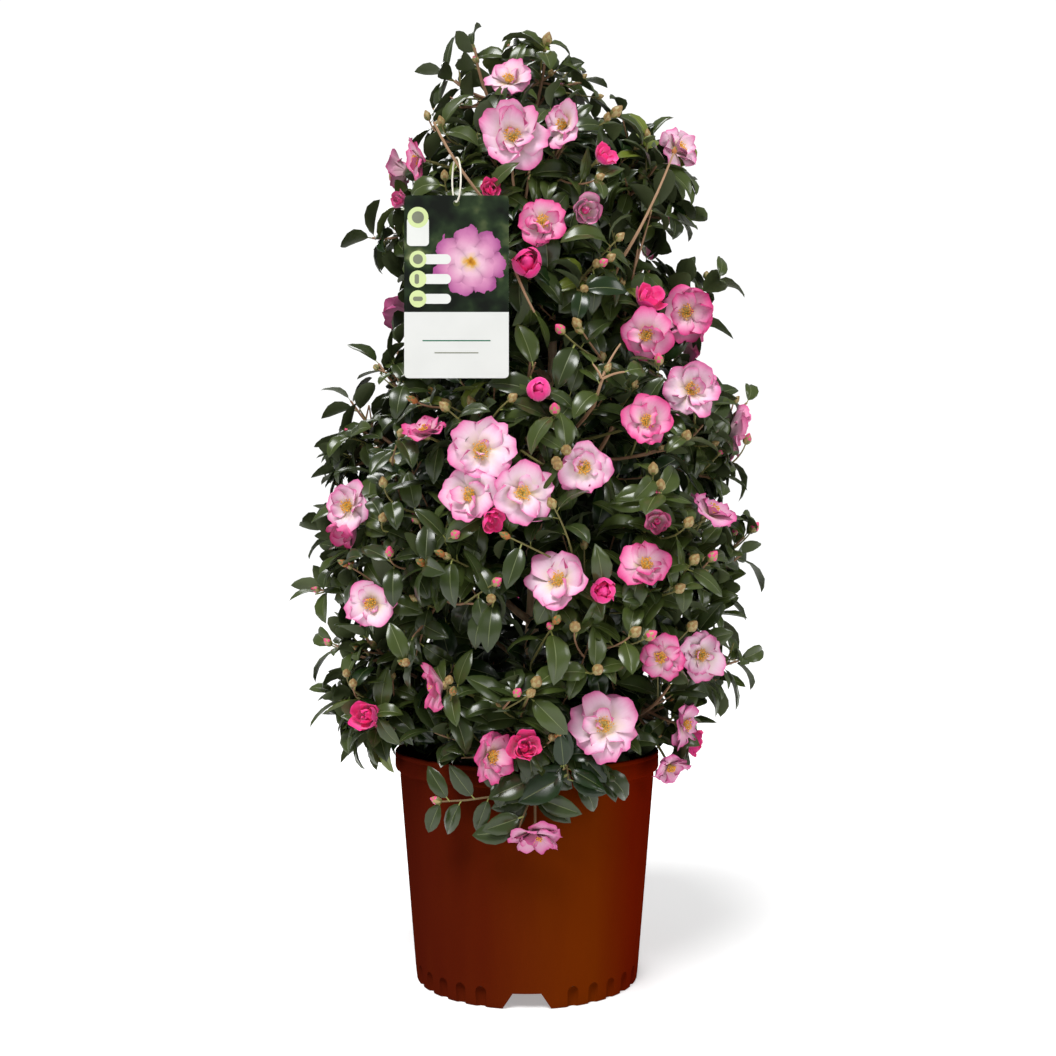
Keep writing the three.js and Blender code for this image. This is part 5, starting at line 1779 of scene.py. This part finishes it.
# The picture: blurred leaves with one open blossom, drawn from the place on the card
def pictureMaterial(middle, height):
    petals = paintStops(pictureLook["petals"])
    material = plainMaterial("labelPicture", petals[4][1], 0.5, specular=0.12)

    def work(operation, *terms):
        return calculate(material, operation, *terms)

    place = objectPlace(material)
    parts = addNode(material, "ShaderNodeSeparateXYZ", Vector=place)
    size = label["flowerRadius"] * mm
    across = work("MULTIPLY_ADD", parts.outputs["X"], 1 / size, -middle / size)
    above = work("MULTIPLY_ADD", parts.outputs["Z"], 1 / size, -height / size)
    radius = work("SQRT", work("MULTIPLY_ADD", across, across, work("MULTIPLY", above, above)))
    turn = work("ARCTAN2", above, across)
    shake = work("SUBTRACT", noiseAt(material, place, 90.0, 3.0), 0.5)
    colour = colourRamp(material, paintStops(pictureLook["leaves"]), noiseAt(material, place, 42.0, 2.5))
    for count, phase, extent in pictureLook["rings"]:
        half = work("MULTIPLY_ADD", shake, 1.6, work("MULTIPLY_ADD", turn, count / 2, phase))
        wave = work("ABSOLUTE", work("COSINE", half))
        edge = work("MULTIPLY_ADD", work("POWER", wave, 0.5), 0.2 * extent, 0.8 * extent)
        share = work("DIVIDE", radius, work("MULTIPLY_ADD", shake, 0.5 * extent, edge))
        shaded = work("MULTIPLY_ADD", shake, 0.7, work("MULTIPLY", share, extent))
        seam = work("MULTIPLY_ADD", work("POWER", wave, 0.3), 0.42, 0.58)
        dim = mixColours(material, 1.0, colourRamp(material, petals, shaded), seam, "MULTIPLY")
        colour = mixColours(material, work("LESS_THAN", share, 1.0), colour, dim)
    feed(shaderOf(material)["Base Color"], colour)
    return material


def drawOut(bm, faces, depth):
    made = bmesh.ops.extrude_face_region(bm, geom=faces)["geom"]
    for item in made:
        if isinstance(item, bmesh.types.BMVert):
            item.co.y = depth


# A flat print with round corners that stands just proud of the card
def addPrint(bm, middle, width, height, corner, slot):
    before = set(bm.faces)
    made = bmesh.ops.create_grid(bm, x_segments=1, y_segments=1, size=0.5)["verts"]
    for vertex in made:
        x, y, _ = vertex.co
        vertex.co = (middle[0] + x * width, middle[1], middle[2] + y * height)
    bmesh.ops.bevel(bm, geom=made, offset=corner, affect="VERTICES", segments=7, profile=0.5, material=-1)
    fresh = [face for face in bm.faces if face not in before]
    drawOut(bm, fresh, middle[1] - label["printRise"][slot])
    for face in bm.faces:
        if face not in before:
            face.material_index = slot


def makeCard(low, high):
    middle = (low + high) / 2
    bm = bmesh.new()
    corners = [(low[0], low[2]), (high[0], low[2]), (high[0], high[2]), (low[0], high[2])]
    bm.faces.new([bm.verts.new((x, high[1], z)) for x, z in corners])
    bmesh.ops.bevel(
        bm, geom=bm.verts[:], offset=label["corner"], affect="VERTICES", segments=6, profile=0.5,
        material=-1)
    drawOut(bm, bm.faces[:], low[1])
    pictureLow = low[2] + label["footHeight"]
    cutAcross(bm, pictureLow, (0, 0, 1))
    faceOut(bm)
    for face in bm.faces:
        if face.normal.y < -0.9 and face.calc_center_median().z > pictureLow:
            face.material_index = 1
    across, above = label["flowerAt"]
    picture = pictureMaterial((middle[0] + across) * mm, (low[2] + above) * mm)
    piece = finishPiece("plant_label", bm, [mottledMaterial("labelCard", cardStock), picture], 40)
    hole = bmesh.new()
    place = Matrix.Translation((middle[0], middle[1], high[2] - label["holeDown"]))
    addDrill(hole, label["holeRadius"], 20, matrix=place @ Matrix.Rotation(math.pi / 2, 4, "X"))
    cutWith(piece, finishPiece("labelPunch", hole, []), 40)
    standFor(piece, ["label_card"])


def makePrints(low, high):
    bm = bmesh.new()
    for across, above, wide, tall, corner, slot in label["prints"]:
        place = ((low[0] + high[0]) / 2 + across, low[1], low[2] + above)
        addPrint(bm, place, wide, tall, corner, slot)
    faceOut(bm)
    inks = [mottledMaterial(name, {**inkLook, "colours": tones}) for name, tones in inkTones.items()]
    standFor(finishPiece("label_print", bm, inks, 30))


# The elastic: a thin ring one unit round, drawn out to the loop's own width and height
def makeElastic():
    bm = bmesh.new()
    thin, wide, tall = 0.1, tie["halfWidth"], tie["halfHeight"]
    place = Matrix.Translation((1, 0, 0)) @ Matrix.Rotation(math.pi / 2, 4, "X")
    bmesh.ops.create_circle(bm, segments=12, radius=thin, matrix=place)
    spinRound(bm, bm.verts[:] + bm.edges[:], 72, 1e-4)
    heading = math.radians(90 + tie["turn"])
    drop = tie["at"][2] + tie["hang"] - tall
    for vertex in bm.verts:
        x, y, z = vertex.co
        turn = math.atan2(y, x)
        off = (math.hypot(x, y) - 1) / thin * tie["radius"]
        nx, nz = math.cos(turn) / wide, math.sin(turn) / tall
        scale = math.hypot(nx, nz)
        across = wide * math.cos(turn) + nx / scale * off
        height = tall * math.sin(turn) + nz / scale * off
        depth = z / thin * tie["radius"]
        vertex.co = (
            tie["at"][0] + across * math.cos(heading) + depth * math.sin(heading),
            tie["at"][1] + across * math.sin(heading) - depth * math.cos(heading),
            drop + height)
    faceOut(bm)
    piece = finishPiece("label_elastic", bm, [mottledMaterial("elasticTie", tie["look"])], 60)
    standFor(piece, ["label_tie"])


def makeLabel():
    low, high = (np.array(corner[:]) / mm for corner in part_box("label_card"))
    makeCard(low, high)
    makePrints(low, high)
    makeElastic()


# The twig that the label hangs on
def growLabelTwigs():
    index = next(i for i, mass in enumerate(masses) if mass["name"] == "shoulder_1")
    a, b, c, d = np.array(tie["twig"], float)
    traits = {"mass": index, "roll": 20, "size": 0.8, "pale": True}
    return [
        makeShoot(masses[index]["heart"], b, tie["twigRadii"], "side", bend=a, bare=True, **traits),
        makeShoot(b, d, tie["endRadii"], "side", bend=2 * c - (b + d) / 2, **traits)]


makeStudio()
makeWood()
makePot()
makeSoil()
makeLabel()
mains = growMains(listTips())
sides = growSides(mains)
budTwigs = growBudTwigs([shoot for shoot in mains + sides if standsClear(shoot)])
allShoots = mains + growLeaders() + sides + growInner() + growStalks() + growLabelTwigs()
allShoots += growSeenTwigs() + budTwigs
allShoots = [shoot for shoot in allShoots if standsClear(shoot)]
print(f"shoots: {len(allShoots)}")
makeTwigs(allShoots)
makeLeaves([shoot for shoot in allShoots if not shoot["bare"]])
makePetals()
makeStamens([blossom for blossom in blossoms if blossom["form"] == "open"])
makeBuds(allShoots, budTwigs)
